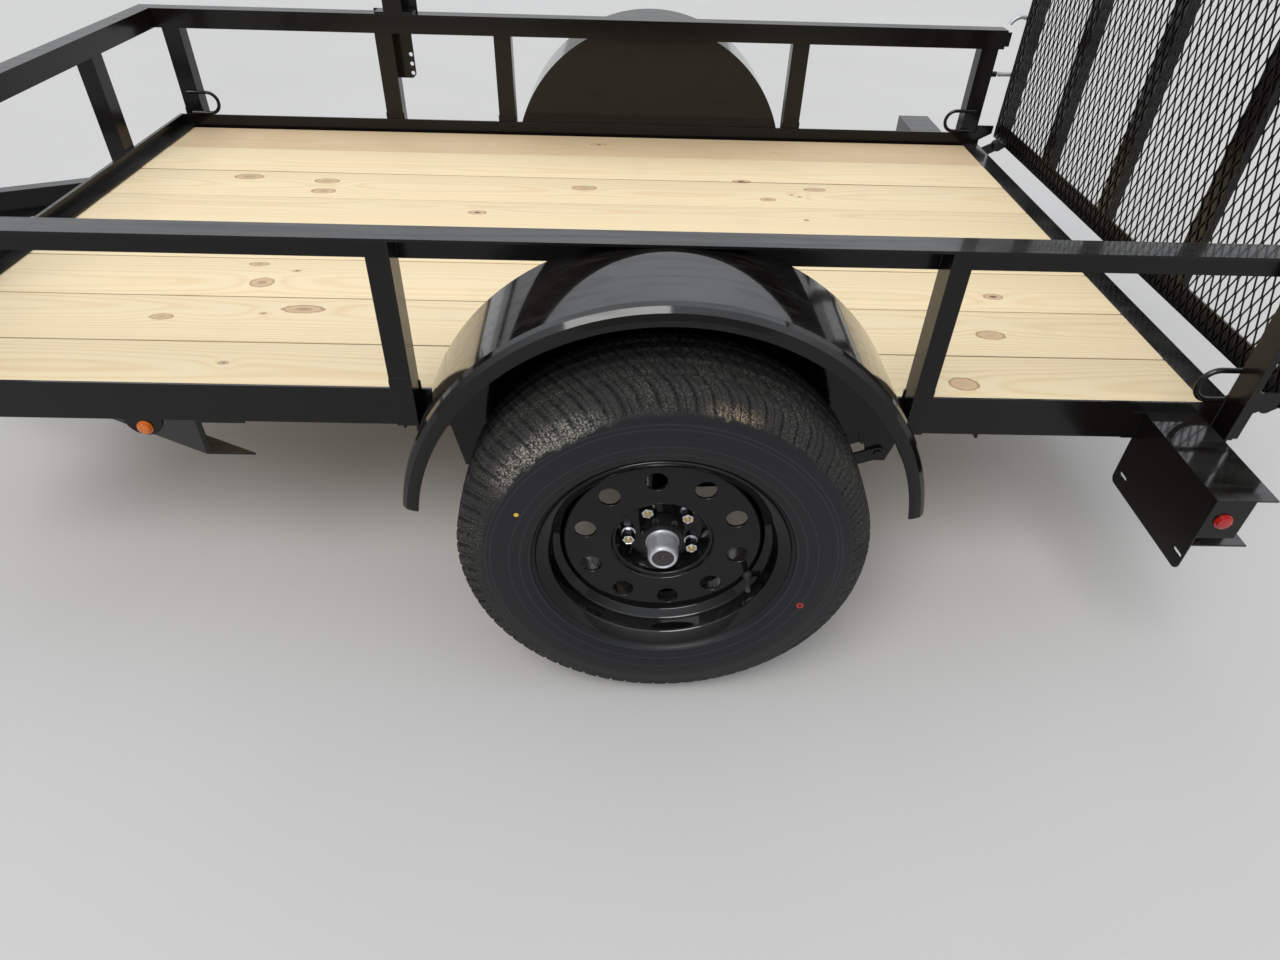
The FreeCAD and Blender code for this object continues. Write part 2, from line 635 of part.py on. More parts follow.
def shackle():
    """Two links from the rear eye of the spring to its bracket."""
    low = V(AXLE_X + SPRING_HALF_SPAN, 0, SPRING_EYE_HEIGHT)
    high = V(AXLE_X + SHACKLE_X, 0, FRAME_BOTTOM - 42)
    out = SPRING_WIDTH / 2 + EAR_GAP + EAR_THICK + EAR_GAP
    links = []
    for start in (SPRING_Y - out - EAR_THICK, SPRING_Y + out):
        along = high - low
        across = V(-along.z, 0, along.x).normalize() * SPRING_EYE_RADIUS
        strip = side_view([(p.x, p.z) for p in (low + across, high + across, high - across, low - across)],
                          start, start + EAR_THICK)
        ends = [rod(V(p.x, start, p.z), Y, SPRING_EYE_RADIUS, EAR_THICK) for p in (low, high)]
        links.append(fused([strip, *ends]))
    bolt = rod(V(low.x, SPRING_Y - out - EAR_THICK - 6, low.z), Y, EYE_BOLT_RADIUS,
               2 * (out + EAR_THICK + 6))
    hole = rod(V(high.x, SPRING_Y - out - EAR_THICK, high.z), Y, EYE_BOLT_RADIUS, 2 * (out + EAR_THICK))
    return fused(links + [bolt]).cut(hole)


def leg_strip(width, z0, z1):
    """Band of the tongue's right-hand leg, as wide as given inward from its outer face."""
    shift = width * math.hypot(1, TONGUE_SLOPE) / TONGUE_SLOPE
    return plan([(ENTRY, HALF), (APEX, 0), (APEX + shift, 0), (ENTRY + shift, HALF)], z0, z1)


def tongue_leg():
    """Channel of the A-frame, with its web outward, from the frame side to the coupler."""
    bottom = FRAME_BOTTOM - FRAME_DEPTH
    web = leg_strip(STEEL, bottom, FRAME_BOTTOM)
    top = leg_strip(TONGUE_FLANGE, FRAME_BOTTOM - STEEL, FRAME_BOTTOM)
    low = leg_strip(TONGUE_FLANGE, bottom, bottom + STEEL)
    start = NOSE + NOSE_TO_LEGS
    keep = block(start, ENTRY + FRAME_WIDTH, 0, HALF, bottom, FRAME_BOTTOM)
    return fused([web, top, low]).common(keep)


def tongue_plate(front, rear, z):
    """Plate across both legs, flush with their outer faces."""
    wide = [(x, way * (x - APEX) * TONGUE_SLOPE)
            for x, way in ((front, -1), (front, 1), (rear, 1), (rear, -1))]
    return plan(wide, z, z + STEEL)


def coupler():
    """Pressed coupler: a plate over the tongue, a hollow nose for the ball and a latch."""
    socket = BALL_RADIUS + SOCKET_CLEARANCE
    shell = socket + SOCKET_WALL
    x = NOSE + shell
    z = FRAME_BOTTOM - SOCKET_DROP
    neck = x + shell
    rear = APEX + THROAT_LENGTH
    plate = tongue_plate(rear, NOSE + COUPLER_LENGTH, FRAME_BOTTOM)
    half = THROAT_LENGTH * TONGUE_SLOPE
    throat = plan([(neck, SOCKET_DROP - shell), (neck, shell - SOCKET_DROP), (rear, half), (rear, -half)],
                  FRAME_BOTTOM, FRAME_BOTTOM + STEEL)
    side = shell - SOCKET_WALL
    bridge = block(x, neck + BRIDGE_LENGTH, -side, side, FRAME_BOTTOM, z + shell - STEEL)
    low = z - SOCKET_SKIRT
    dome = rod(V(x, 0, low), Z, shell, SOCKET_SKIRT + SOCKET_WALL)
    dome = dome.fuse(Part.makeSphere(shell, V(x, 0, z + SOCKET_WALL)))
    ball = Part.makeSphere(socket, V(x, 0, z)).fuse(rod(V(x, 0, z - 2 * shell), Z, socket, 2 * shell))
    trim = block(x - 2 * shell, neck + BRIDGE_LENGTH, -2 * shell, 2 * shell, low - 2 * shell, low)
    body = fused([plate, throat, bridge, dome]).cut([ball, trim])
    crown = z + shell
    grip = crown + 2 * SOCKET_SKIRT
    lever = side_view([(x + 20, crown), (x + 30, grip - LEVER_THICK), (x + LEVER_LENGTH, grip),
                       (x + LEVER_LENGTH, grip - LEVER_THICK), (x + 50, crown + SOCKET_SKIRT),
                       (x + 44, FRAME_BOTTOM), (x + 24, FRAME_BOTTOM)], -LEVER_WIDTH / 2, LEVER_WIDTH / 2)
    return fused([body, lever])


def jack_mount():
    """Plate across the two legs that carries the jack."""
    half = JACK_PLATE_LENGTH / 2
    hole = rod(V(JACK_X, 0, FRAME_BOTTOM), Z, JACK_TUBE_RADIUS, STEEL)
    return tongue_plate(JACK_X - half, JACK_X + half, FRAME_BOTTOM).cut(hole)


def jack_tube():
    """Outer tube of the jack with its flange and the gear head on top."""
    x = JACK_X
    base = V(x, 0, JACK_TUBE_BOTTOM)
    outer = rod(base, Z, JACK_TUBE_RADIUS, JACK_TOP - JACK_TUBE_BOTTOM)
    inner = rod(base, Z, JACK_TUBE_RADIUS - JACK_TUBE_WALL, JACK_TOP - JACK_TUBE_BOTTOM - 30)
    flange = rod(V(x, 0, FRAME_BOTTOM + STEEL), Z, JACK_TUBE_RADIUS + 20, 6)
    head = rod(V(x, 0, JACK_TOP - 24), Z, JACK_TUBE_RADIUS + 4, 24)
    return fused([outer, flange, head]).cut(inner)


def jack_leg():
    """Inner leg of the jack with a flat foot on the ground."""
    x = JACK_X
    foot = block(x - JACK_FOOT_HALF, x + JACK_FOOT_HALF, -JACK_FOOT_HALF, JACK_FOOT_HALF, 0,
                 JACK_FOOT_THICK)
    skirt = [block(x - JACK_FOOT_HALF, x + JACK_FOOT_HALF, y, y + 4, 0, JACK_FOOT_RIM)
             for y in (-JACK_FOOT_HALF, JACK_FOOT_HALF - 4)]
    leg = rod(V(x, 0, 0), Z, JACK_LEG_RADIUS, JACK_LEG_TOP)
    return fused([foot, leg, *skirt])


def jack_crank():
    """Crank of the jack: a stub, an arm and a handle with a grip."""
    x = JACK_X
    stub = rod(V(x, 0, JACK_TOP), Z, 8, 26)
    arm = block(x - 9, x + CRANK_REACH, -9, 9, JACK_TOP + 20, JACK_TOP + 27)
    handle = rod(V(x + CRANK_REACH - 10, 0, JACK_TOP + 20), Z, 6, 110)
    grip = rod(V(x + CRANK_REACH - 10, 0, JACK_TOP + 42), Z, 13, 84)
    return fused([stub, arm, handle, grip])


def lamp_box(plate_height):
    """Folded box behind the fender that shelters a tail lamp, open to the rear."""
    x = AXLE_X + BOX_STATION
    out = HALF + BOX_WIDTH
    low = BOX_TOP - plate_height
    front = block(x, x + SHEET, HALF, out, low, BOX_TOP)
    corners = [edge for edge in front.Edges
               if edge.BoundBox.XLength > SHEET / 2 and edge.BoundBox.ZMax < low + PLATE_CORNER]
    front = front.makeFillet(PLATE_CORNER, corners)
    hood = block(x, x + BOX_HOOD, HALF, out, BOX_TOP - SHEET, BOX_TOP)
    cheek = block(x, x + CHEEK_DEPTH, out - SHEET, out, BOX_TOP - CHEEK_HEIGHT, BOX_TOP)
    floor = BOX_TOP - BOX_HEIGHT
    tray = block(x, x + TRAY_DEPTH, HALF, out - PLATE_CORNER, floor, floor + SHEET)
    tab = block(x - BOX_TAB, x, HALF, HALF + SHEET, FRAME_BOTTOM, BOX_TOP)
    return fused([front, hood, cheek, tray, tab])


def plate_slots():
    """Two slots along Y in the lower part of the left-hand box's front plate."""
    x = AXLE_X + BOX_STATION
    middle = HALF + SLOT_MIDDLE
    z = BOX_TOP - PLATE_HEIGHT + SLOT_RISE
    straight = SLOT_LENGTH / 2 - SLOT_RADIUS
    slots = []
    for y in (middle - SLOT_SPACING / 2, middle + SLOT_SPACING / 2):
        slots.append(block(x, x + SHEET, y - straight, y + straight, z - SLOT_RADIUS, z + SLOT_RADIUS))
        slots += [rod(V(x, y + end, z), X, SLOT_RADIUS, SHEET) for end in (-straight, straight)]
    return slots


def tail_lamp():
    """Rectangular lamp on the front plate inside its box, facing the rear."""
    x = AXLE_X + BOX_STATION + SHEET
    y = HALF + BOX_WIDTH / 2 + 14
    z = BOX_TOP - BOX_HEIGHT / 2
    lens = block(x + LAMP_DEPTH - 14, x + LAMP_DEPTH + 16, y - LAMP_WIDTH / 2, y + LAMP_WIDTH / 2,
                 z - LAMP_HEIGHT / 2, z + LAMP_HEIGHT / 2)
    lens = lens.makeChamfer(6, [edge for edge in lens.Edges if edge.BoundBox.XMin > x + LAMP_DEPTH])
    stem = rod(V(x, y, z), X, 20, LAMP_DEPTH - 14)
    return fused([lens, stem])


def marker(x, y, z):
    """Small round side marker lamp that faces outward, with a domed lens."""
    r, tip = MARKER_RADIUS, y + MARKER_LENGTH
    return ring_profile([(0, y), (r + 3, y), (r + 3, y + 3), (r, y + 3), (r, tip - 3), (r - 3, tip - 1),
                         (0, tip)], V(x, 0, z))


def marker_bracket():
    """Half-round plate under the frame side that carries the front marker."""
    disc = rod(V(MARKER_X, HALF - STEEL, FRAME_BOTTOM), Y, BRACKET_RADIUS, STEEL)
    keep = block(MARKER_X - BRACKET_RADIUS, MARKER_X + BRACKET_RADIUS, HALF - STEEL, HALF,
                 FRAME_BOTTOM - BRACKET_RADIUS, FRAME_BOTTOM)
    return disc.common(keep)


def tie_loop(x, way):
    """D-shaped bar loop on the inner face of a corner post, standing on the frame."""
    low = FRAME_TOP + LOOP_BAR + LOOP_SEAT_GAP
    centre = V(x + way * LOOP_STRAIGHT, HALF - LOOP_BAR - LOOP_SEAT_GAP, low + LOOP_BEND)
    section = Part.Face(Part.Wire(Part.makeCircle(LOOP_BAR, centre - Z * LOOP_BEND, X)))
    bend = section.revolve(centre, Y, -180 * way)
    reach = LOOP_STRAIGHT + LOOP_WELD
    start = centre - X * way * reach
    bars = [rod(start + Z * rise, X * way, LOOP_BAR, reach) for rise in (-LOOP_BEND, LOOP_BEND)]
    return fused([bend, *bars])


def spare_carrier():
    """Spare wheel carrier: a stepped plate outside the rail and a tube on a foot, with a head."""
    out = RAIL_OUT + STEEL
    left, right = CARRIER_X, CARRIER_X + CARRIER_WIDTH
    cut = CARRIER_CORNER
    foot_top = RAIL_TOP + CARRIER_FOOT_THICK
    lower = side_view([(left + cut, CARRIER_BOTTOM), (right - cut, CARRIER_BOTTOM),
                       (right, CARRIER_BOTTOM + cut), (right, foot_top), (left, foot_top),
                       (left, CARRIER_BOTTOM + cut)], RAIL_OUT, out)
    first = V(right - CARRIER_HOLE_EDGE, RAIL_OUT, CARRIER_BOTTOM + CARRIER_HOLE_RISE)
    holes = [rod(first + Z * i * CARRIER_HOLE_PITCH, Y, CARRIER_HOLE_RADIUS, STEEL) for i in range(3)]
    upper = block(left + CARRIER_STEP, right + CARRIER_STEP, RAIL_OUT, out, RAIL_TOP, CARRIER_TOP)
    front = left + CARRIER_TUBE_LEAD
    middle = front + ANGLE / 2
    half = CARRIER_FOOT_LENGTH / 2
    foot = block(middle - half, middle + half, HALF - STEEL, RAIL_OUT, RAIL_TOP, foot_top)
    tube = block(front, front + ANGLE, HALF - STEEL, RAIL_OUT, foot_top, CARRIER_TOP)
    bore = block(front + STEEL, front + ANGLE - STEEL, HALF, RAIL_OUT - STEEL, foot_top, CARRIER_TOP)
    reach = CARRIER_PLATE_WIDTH / 2
    low = CARRIER_TOP - CARRIER_PLATE_HEIGHT
    head = block(middle - reach, middle + reach, out, out + STEEL, low, CARRIER_TOP)
    studs = [rod(V(middle + way * CARRIER_STUD_SPACING / 2, out, (low + CARRIER_TOP) / 2), Y,
                 CARRIER_STUD_RADIUS, STEEL + CARRIER_STUD_LENGTH) for way in (-1, 1)]
    return fused([lower.cut(holes), upper, foot, tube.cut(bore), head, *studs])


def gate_frame():
    """Welded angle frame of the gate with its upright bars, behind the mesh."""
    front = AXLE_X + GATE_FRONT + MESH_THICK
    back = front + ANGLE
    top = GATE_BOTTOM + GATE_HEIGHT
    pieces = [
        block(front, front + STEEL, -HALF, HALF, GATE_BOTTOM, GATE_BOTTOM + ANGLE),
        block(front, back, -HALF, HALF, GATE_BOTTOM, GATE_BOTTOM + STEEL),
        block(front, front + STEEL, -HALF, HALF, top - ANGLE, top),
        block(front, back, -HALF, HALF, top - STEEL, top),
    ]
    for y0, y1 in ((HALF - ANGLE, HALF), (-HALF, ANGLE - HALF)):
        pieces.append(block(front, front + STEEL, y0, y1, GATE_BOTTOM, top))
    for y0 in (HALF - STEEL, -HALF):
        pieces.append(block(front, back, y0, y0 + STEEL, GATE_BOTTOM, top))
    for i in range(1, GATE_BARS + 1):
        y = HALF - i * GATE_BAR_PITCH
        pieces.append(block(front, front + STEEL, y - ANGLE, y, GATE_BOTTOM, top))
        pieces.append(block(front, back, y - STEEL, y, GATE_BOTTOM, top))
    return fused(pieces)


def gate_mesh():
    """Expanded metal on the cargo side of the gate, with diamonds drawn large."""
    x = AXLE_X + GATE_FRONT
    wide, tall = HALF - STEEL, GATE_HEIGHT - 2 * STEEL
    low = GATE_BOTTOM + STEEL
    step_y, step_z = 2 * wide / MESH_COLUMNS, tall / MESH_ROWS
    half_y, half_z = step_y / 2 - MESH_STRAND, step_z / 2 - MESH_STRAND
    outline = Part.makePolygon([V(x, -wide, low), V(x, wide, low), V(x, wide, low + tall),
                                V(x, -wide, low + tall), V(x, -wide, low)])
    holes = []
    for row in range(2 * MESH_ROWS - 1):
        count = MESH_COLUMNS if row % 2 == 0 else MESH_COLUMNS - 1
        z = low + (row + 1) * step_z / 2
        for i in range(count):
            y = -(count - 1) * step_y / 2 + i * step_y
            tips = [V(x, y - half_y, z), V(x, y, z + half_z), V(x, y + half_y, z), V(x, y, z - half_z)]
            holes.append(Part.makePolygon(tips + [tips[0]]))
    return Part.Face([outline, *holes]).extrude(X * MESH_THICK)


def hinge_lug():
    """Plate on the rear face of the frame with a bore for the gate's pin."""
    pin = REAR + PIN_STATION
    y = HALF - LUG_INSET - LUG_THICK / 2
    arm = side_view([(REAR, LUG_ROOT), (REAR, DECK_TOP), (pin - 6, PIN_HEIGHT + LUG_RADIUS - 2),
                     (pin + 6, PIN_HEIGHT - LUG_RADIUS + 2)], y, y + LUG_THICK)
    head = rod(V(pin, y, PIN_HEIGHT), Y, LUG_RADIUS, LUG_THICK)
    bore = rod(V(pin, y, PIN_HEIGHT), Y, PIN_RADIUS + PIN_CLEARANCE, LUG_THICK)
    return fused([arm, head]).cut(bore)


def gate_hinge():
    """Two plates under the gate astride the frame's lug, with the hinge pin between them."""
    pin = REAR + PIN_STATION
    middle = HALF - LUG_INSET
    offset = LUG_THICK / 2 + LUG_GAP
    front = AXLE_X + GATE_FRONT + MESH_THICK
    plates = []
    for y in (middle - offset - LUG_THICK, middle + offset):
        arm = side_view([(pin - LUG_RADIUS + 4, PIN_HEIGHT + 4), (front, GATE_BOTTOM),
                         (front + ANGLE - 4, GATE_BOTTOM), (pin + 6, PIN_HEIGHT - LUG_RADIUS + 2)],
                        y, y + LUG_THICK)
        plates.append(fused([arm, rod(V(pin, y, PIN_HEIGHT), Y, LUG_RADIUS, LUG_THICK)]))
    shaft = rod(V(pin, middle - offset - LUG_THICK, PIN_HEIGHT), Y, PIN_RADIUS, 2 * (offset + LUG_THICK))
    return fused([*plates, shaft])


def latch_peg():
    """Round peg on the rear corner post, which the gate's latch bolt lines up with."""
    edge = SIDE_POSTS[-1][1] + ANGLE
    return rod(V(edge - LATCH_PEG_WELD, LATCH_Y, LATCH_HEIGHT), X, LATCH_PEG_RADIUS,
               LATCH_PEG_WELD + LATCH_PEG_REACH)


def gate_latch():
    """Spring latch outside the gate, its bolt drawn back, with a handle that arches over the rail."""
    start = SIDE_POSTS[-1][1] + ANGLE + LATCH_PEG_REACH + LATCH_GAP
    back = AXLE_X + GATE_FRONT + MESH_THICK + ANGLE
    case = rod(V(back - LATCH_CASE_LENGTH, LATCH_Y, LATCH_HEIGHT), X, LATCH_Y - HALF, LATCH_CASE_LENGTH)
    bolt = rod(V(start, LATCH_Y, LATCH_HEIGHT), X, LATCH_BOLT_RADIUS, back - start)
    leg_x = REAR + PIN_STATION + HANDLE_SETBACK
    y = HALF + HANDLE_RADIUS
    turn = HANDLE_TOP - HANDLE_ARCH
    leg = rod(V(leg_x, y, LATCH_HEIGHT), Z, HANDLE_RADIUS, turn - LATCH_HEIGHT)
    section = Part.Face(Part.Wire(Part.makeCircle(HANDLE_RADIUS, V(leg_x, y, turn), Z)))
    arch = section.revolve(V(leg_x - HANDLE_ARCH, y, turn), Y, HANDLE_OPEN - 180)
    return fused([bolt, case, leg, arch])


def build():
    """Every node of the trailer with its solids."""
    box_left = mirrored(lamp_box(PLATE_HEIGHT).cut(plate_slots()))
    marker_y = HALF + BOX_WIDTH
    rear_marker = marker(AXLE_X + BOX_STATION + MARKER_SET, marker_y, BOX_TOP - MARKER_DROP)
    front_marker = marker(MARKER_X, HALF, FRAME_BOTTOM - BRACKET_RADIUS / 2)
    loops = tie_loop(SIDE_POSTS[0][1], 1), tie_loop(SIDE_POSTS[-1][1], -1)
    pairs = (
        ("frame_rail", frame_side()), ("top_rail", side_rail()), ("fender", fender()),
        ("tyre", tyre()), ("rim", rim()), ("hub", hub()), ("dust_cap", dust_cap()),
        ("leaf_spring", spring()),
        ("spring_clamp", spring_clamp()), ("spring_shackle", shackle()), ("tongue_leg", tongue_leg()),
    )
    nodes = {}
    for name, shape in pairs:
        nodes["right_" + name] = [shape]
        nodes["left_" + name] = [mirrored(shape)]
    nodes["right_lug_nuts"] = lug_nuts()
    nodes["left_lug_nuts"] = [mirrored(nut) for nut in lug_nuts()]
    nodes["right_posts"] = side_posts()
    nodes["left_posts"] = [mirrored(post) for post in side_posts("middle")]
    nodes["spring_hangers"] = both_sides(hanger_front()) + both_sides(hanger_rear())
    nodes["front_frame_rail"] = [frame_front()]
    nodes["rear_frame_rail"] = [frame_rear()]
    nodes["crossmembers"] = crossmembers()
    nodes["deck_boards"] = deck_boards()
    nodes["board_retainer"] = [board_retainer()]
    nodes["front_top_rail"] = [front_rail()]
    nodes["front_posts"] = front_posts()
    nodes["axle"] = [axle()]
    nodes["coupler"] = [coupler()]
    nodes["jack_mount"] = [jack_mount()]
    nodes["jack_tube"] = [jack_tube()]
    nodes["jack_leg"] = [jack_leg()]
    nodes["jack_crank"] = [jack_crank()]
    nodes["right_lamp_box"] = [lamp_box(BOX_HEIGHT)]
    nodes["left_lamp_box"] = [box_left]
    nodes["tail_lamps"] = both_sides(tail_lamp())
    nodes["rear_side_markers"] = both_sides(rear_marker)
    nodes["front_side_markers"] = both_sides(front_marker)
    nodes["marker_brackets"] = both_sides(marker_bracket())
    nodes["tie_down_loops"] = [loop for shape in loops for loop in both_sides(shape)]
    nodes["spare_carrier"] = [spare_carrier()]
    nodes["hinge_lugs"] = both_sides(hinge_lug())
    nodes["latch_pegs"] = both_sides(latch_peg())
    nodes["gate_frame"] = [gate_frame()]
    nodes["gate_mesh"] = [gate_mesh()]
    nodes["gate_hinges"] = both_sides(gate_hinge())
    nodes["gate_latches"] = both_sides(gate_latch())
    return nodes


os.makedirs("parts", exist_ok=True)
for node, solids in build().items():
    save(node, solids)
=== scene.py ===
"""Dressed single-axle utility trailer: its boards, tyres, gate mesh, fasteners, welds and finishes.

All lengths are in metres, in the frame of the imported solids: +X to the rear, +Y to the
right-hand side of the trailer, +Z up, with the origin on the ground under its middle.
"""
import logging
import math
from dataclasses import dataclass
from enum import Enum
from typing import Iterable, Optional, Sequence, Union

import bmesh
import bpy
import numpy as np
from mathutils import Matrix, Vector


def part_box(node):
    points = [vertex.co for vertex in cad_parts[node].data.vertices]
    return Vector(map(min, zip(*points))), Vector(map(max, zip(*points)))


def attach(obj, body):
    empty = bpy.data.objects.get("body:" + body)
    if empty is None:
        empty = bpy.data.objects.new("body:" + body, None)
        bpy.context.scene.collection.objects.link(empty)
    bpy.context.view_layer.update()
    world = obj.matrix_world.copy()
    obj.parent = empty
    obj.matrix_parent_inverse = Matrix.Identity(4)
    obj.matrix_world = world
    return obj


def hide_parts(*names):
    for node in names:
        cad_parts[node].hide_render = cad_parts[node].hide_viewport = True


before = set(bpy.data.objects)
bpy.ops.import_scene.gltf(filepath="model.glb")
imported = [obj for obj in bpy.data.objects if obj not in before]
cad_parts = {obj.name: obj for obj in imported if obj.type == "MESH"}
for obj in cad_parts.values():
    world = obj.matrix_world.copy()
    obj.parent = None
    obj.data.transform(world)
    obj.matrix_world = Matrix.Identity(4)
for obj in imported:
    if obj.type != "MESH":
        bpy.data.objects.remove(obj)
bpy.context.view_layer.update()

LOG = logging.getLogger("trailer")
MM = 0.001
TURN = 2 * math.pi
SAME = 1e-7
Colour = tuple[float, float, float]
Place = Sequence[float]
Term = Union["Value", float, int, Sequence[float]]


class Side(Enum):
    """A side of the trailer, with the sign of its y."""

    LEFT = -1
    RIGHT = 1

    @property
    def word(self) -> str:
        """Name of the side, as the nodes have it."""
        return self.name.lower()


class Value:
    """A number, colour or direction that varies over a surface. Sums and products add nodes."""

    def __init__(self, graph: "Graph", socket: bpy.types.NodeSocket) -> None:
        """Wrap one output socket of a graph."""
        self.graph = graph
        self.socket = socket

    def __add__(self, other: Term) -> "Value":
        """Sum."""
        return self.graph.math("ADD", self, other)

    __radd__ = __add__

    def __sub__(self, other: Term) -> "Value":
        """Difference."""
        return self.graph.math("SUBTRACT", self, other)

    def __rsub__(self, other: Term) -> "Value":
        """Difference from a number."""
        return self.graph.math("SUBTRACT", other, self)

    def __mul__(self, other: Term) -> "Value":
        """Product."""
        return self.graph.math("MULTIPLY", self, other)

    __rmul__ = __mul__

    def __truediv__(self, other: Term) -> "Value":
        """Quotient."""
        return self.graph.math("DIVIDE", self, other)

    def __rtruediv__(self, other: Term) -> "Value":
        """Quotient of a number."""
        return self.graph.math("DIVIDE", other, self)

    def __abs__(self) -> "Value":
        """Size without sign."""
        return self.graph.math("ABSOLUTE", self)

    def root(self) -> "Value":
        """Square root."""
        return self.graph.math("SQRT", self)

    def whole(self) -> "Value":
        """Whole part."""
        return self.graph.math("FLOOR", self)

    def fraction(self) -> "Value":
        """Part after the point."""
        return self.graph.math("FRACT", self)

    def most(self, other: Term) -> "Value":
        """The greater of two."""
        return self.graph.math("MAXIMUM", self, other)

    def rise(self, low: Term, high: Term) -> "Value":
        """Smooth step from 0 to 1.

        Args:
            low: where it starts.
            high: where it reaches 1.

        Returns:
            The step as a value.
        """
        sockets = {"Value": self, "From Min": low, "From Max": high}
        return self.graph.node("ShaderNodeMapRange", {"interpolation_type": "SMOOTHSTEP"}, sockets)

    def parts(self) -> tuple["Value", "Value", "Value"]:
        """The three parts of a direction or place."""
        split = self.graph.node("ShaderNodeSeparateXYZ", {}, {0: self}).socket.node
        return tuple(Value(self.graph, output) for output in split.outputs)


class Graph:
    """The nodes of one material, or of the sky."""

    def __init__(self, owner: Union[bpy.types.Material, bpy.types.World]) -> None:
        """Empty the owner's node tree and hold it.

        Args:
            owner: the material or world that the nodes belong to.
        """
        owner.use_nodes = True
        self.owner = owner
        self.tree = owner.node_tree
        self.tree.nodes.clear()

    @classmethod
    def named(cls, name: str) -> "Graph":
        """Start a new material."""
        return cls(bpy.data.materials.new(name))

    def node(self, kind: str, settings: Optional[dict] = None, sockets: Optional[dict] = None,
             result: int = 0) -> Value:
        """Add one node.

        Args:
            kind: the node's type.
            settings: its properties, set before its sockets are filled.
            sockets: what each input takes, by name or number, a value or plain numbers.
            result: which output is wanted.

        Returns:
            That output as a value.
        """
        made = self.tree.nodes.new(kind)
        for key, setting in (settings or {}).items():
            setattr(made, key, setting)
        for key, term in (sockets or {}).items():
            if isinstance(term, Value):
                self.tree.links.new(term.socket, made.inputs[key])
            else:
                made.inputs[key].default_value = self._fit(made.inputs[key], term)
        return Value(self, made.outputs[result])

    @staticmethod
    def _fit(socket: bpy.types.NodeSocket, term: Term) -> Union[float, tuple]:
        """Put plain numbers in the form that a socket takes, a colour with its alpha.

        Args:
            socket: the socket that takes them.
            term: a number, or the parts of a colour or direction.

        Returns:
            The number, or the parts as a tuple.
        """
        if isinstance(term, (int, float)):
            return term
        return (*term, 1.0) if socket.type == "RGBA" and len(term) == 3 else tuple(term)

    def math(self, operation: str, *terms: Term) -> Value:
        """Apply a Math node's operation.

        Args:
            operation: the node's own name of it.
            terms: the numbers or values that it takes, in order.

        Returns:
            The result as a value.
        """
        return self.node("ShaderNodeMath", {"operation": operation}, dict(enumerate(terms)))

    def place(self) -> Value:
        """Object coordinates, which are metres in the trailer's frame."""
        return self.node("ShaderNodeTexCoord", result=3)

    def stretched(self, scale: Place) -> Value:
        """Object coordinates scaled along each axis."""
        return self.node("ShaderNodeMapping", {}, {"Vector": self.place(), "Scale": scale})

    def noise(self, at: Value, scale: float, detail: float = 2.0, warp: float = 0.0) -> Value:
        """Cloudy pattern about 0.5.

        Args:
            at: where it is read.
            scale: clouds per metre.
            detail: octaves added.
            warp: how far it bends itself.

        Returns:
            The pattern as a value.
        """
        sockets = {"Vector": at, "Scale": scale, "Detail": detail, "Distortion": warp}
        return self.node("ShaderNodeTexNoise", {}, sockets)

    def mix(self, share: Term, first: Term, second: Term) -> Value:
        """Colour between two others."""
        sockets = {0: share, 6: first, 7: second}
        return self.node("ShaderNodeMix", {"data_type": "RGBA"}, sockets, 2)

    def upward(self) -> Value:
        """How much the surface faces up, from -1 to 1."""
        return self.node("ShaderNodeNewGeometry", result=1).parts()[2]

    def bump(self, height: Value, distance: float, under: Optional[Value] = None) -> Value:
        """Bump from a height.

        Args:
            height: the relief, 0 to 1.
            distance: how deep 1 is, in metres.
            under: a normal that it starts from.

        Returns:
            The bent normal.
        """
        sockets = {"Height": height, "Distance": distance, "Strength": 1.0}
        if under is not None:
            sockets["Normal"] = under
        return self.node("ShaderNodeBump", {}, sockets)

    def eased(self, radius: float) -> Value:
        """Normal that rounds off sharp edges by a radius."""
        return self.node("ShaderNodeBevel", {"samples": 4}, {"Radius": radius})

    def shade(self, varying: dict[str, Value], fixed: Optional[dict[str, Term]] = None) -> bpy.types.Material:
        """End the graph in a Principled shader.

        Args:
            varying: its sockets that take values.
            fixed: its sockets that are the same all over.

        Returns:
            The finished material.
        """
        shader = self.node("ShaderNodeBsdfPrincipled", {}, {**(fixed or {}), **varying})
        self.finish(shader, "ShaderNodeOutputMaterial")
        return self.owner

    def finish(self, shader: Value, kind: str) -> None:
        """Link a shader to an output of the given kind."""
        end = self.tree.nodes.new(kind)
        self.tree.links.new(shader.socket, end.inputs["Surface"])


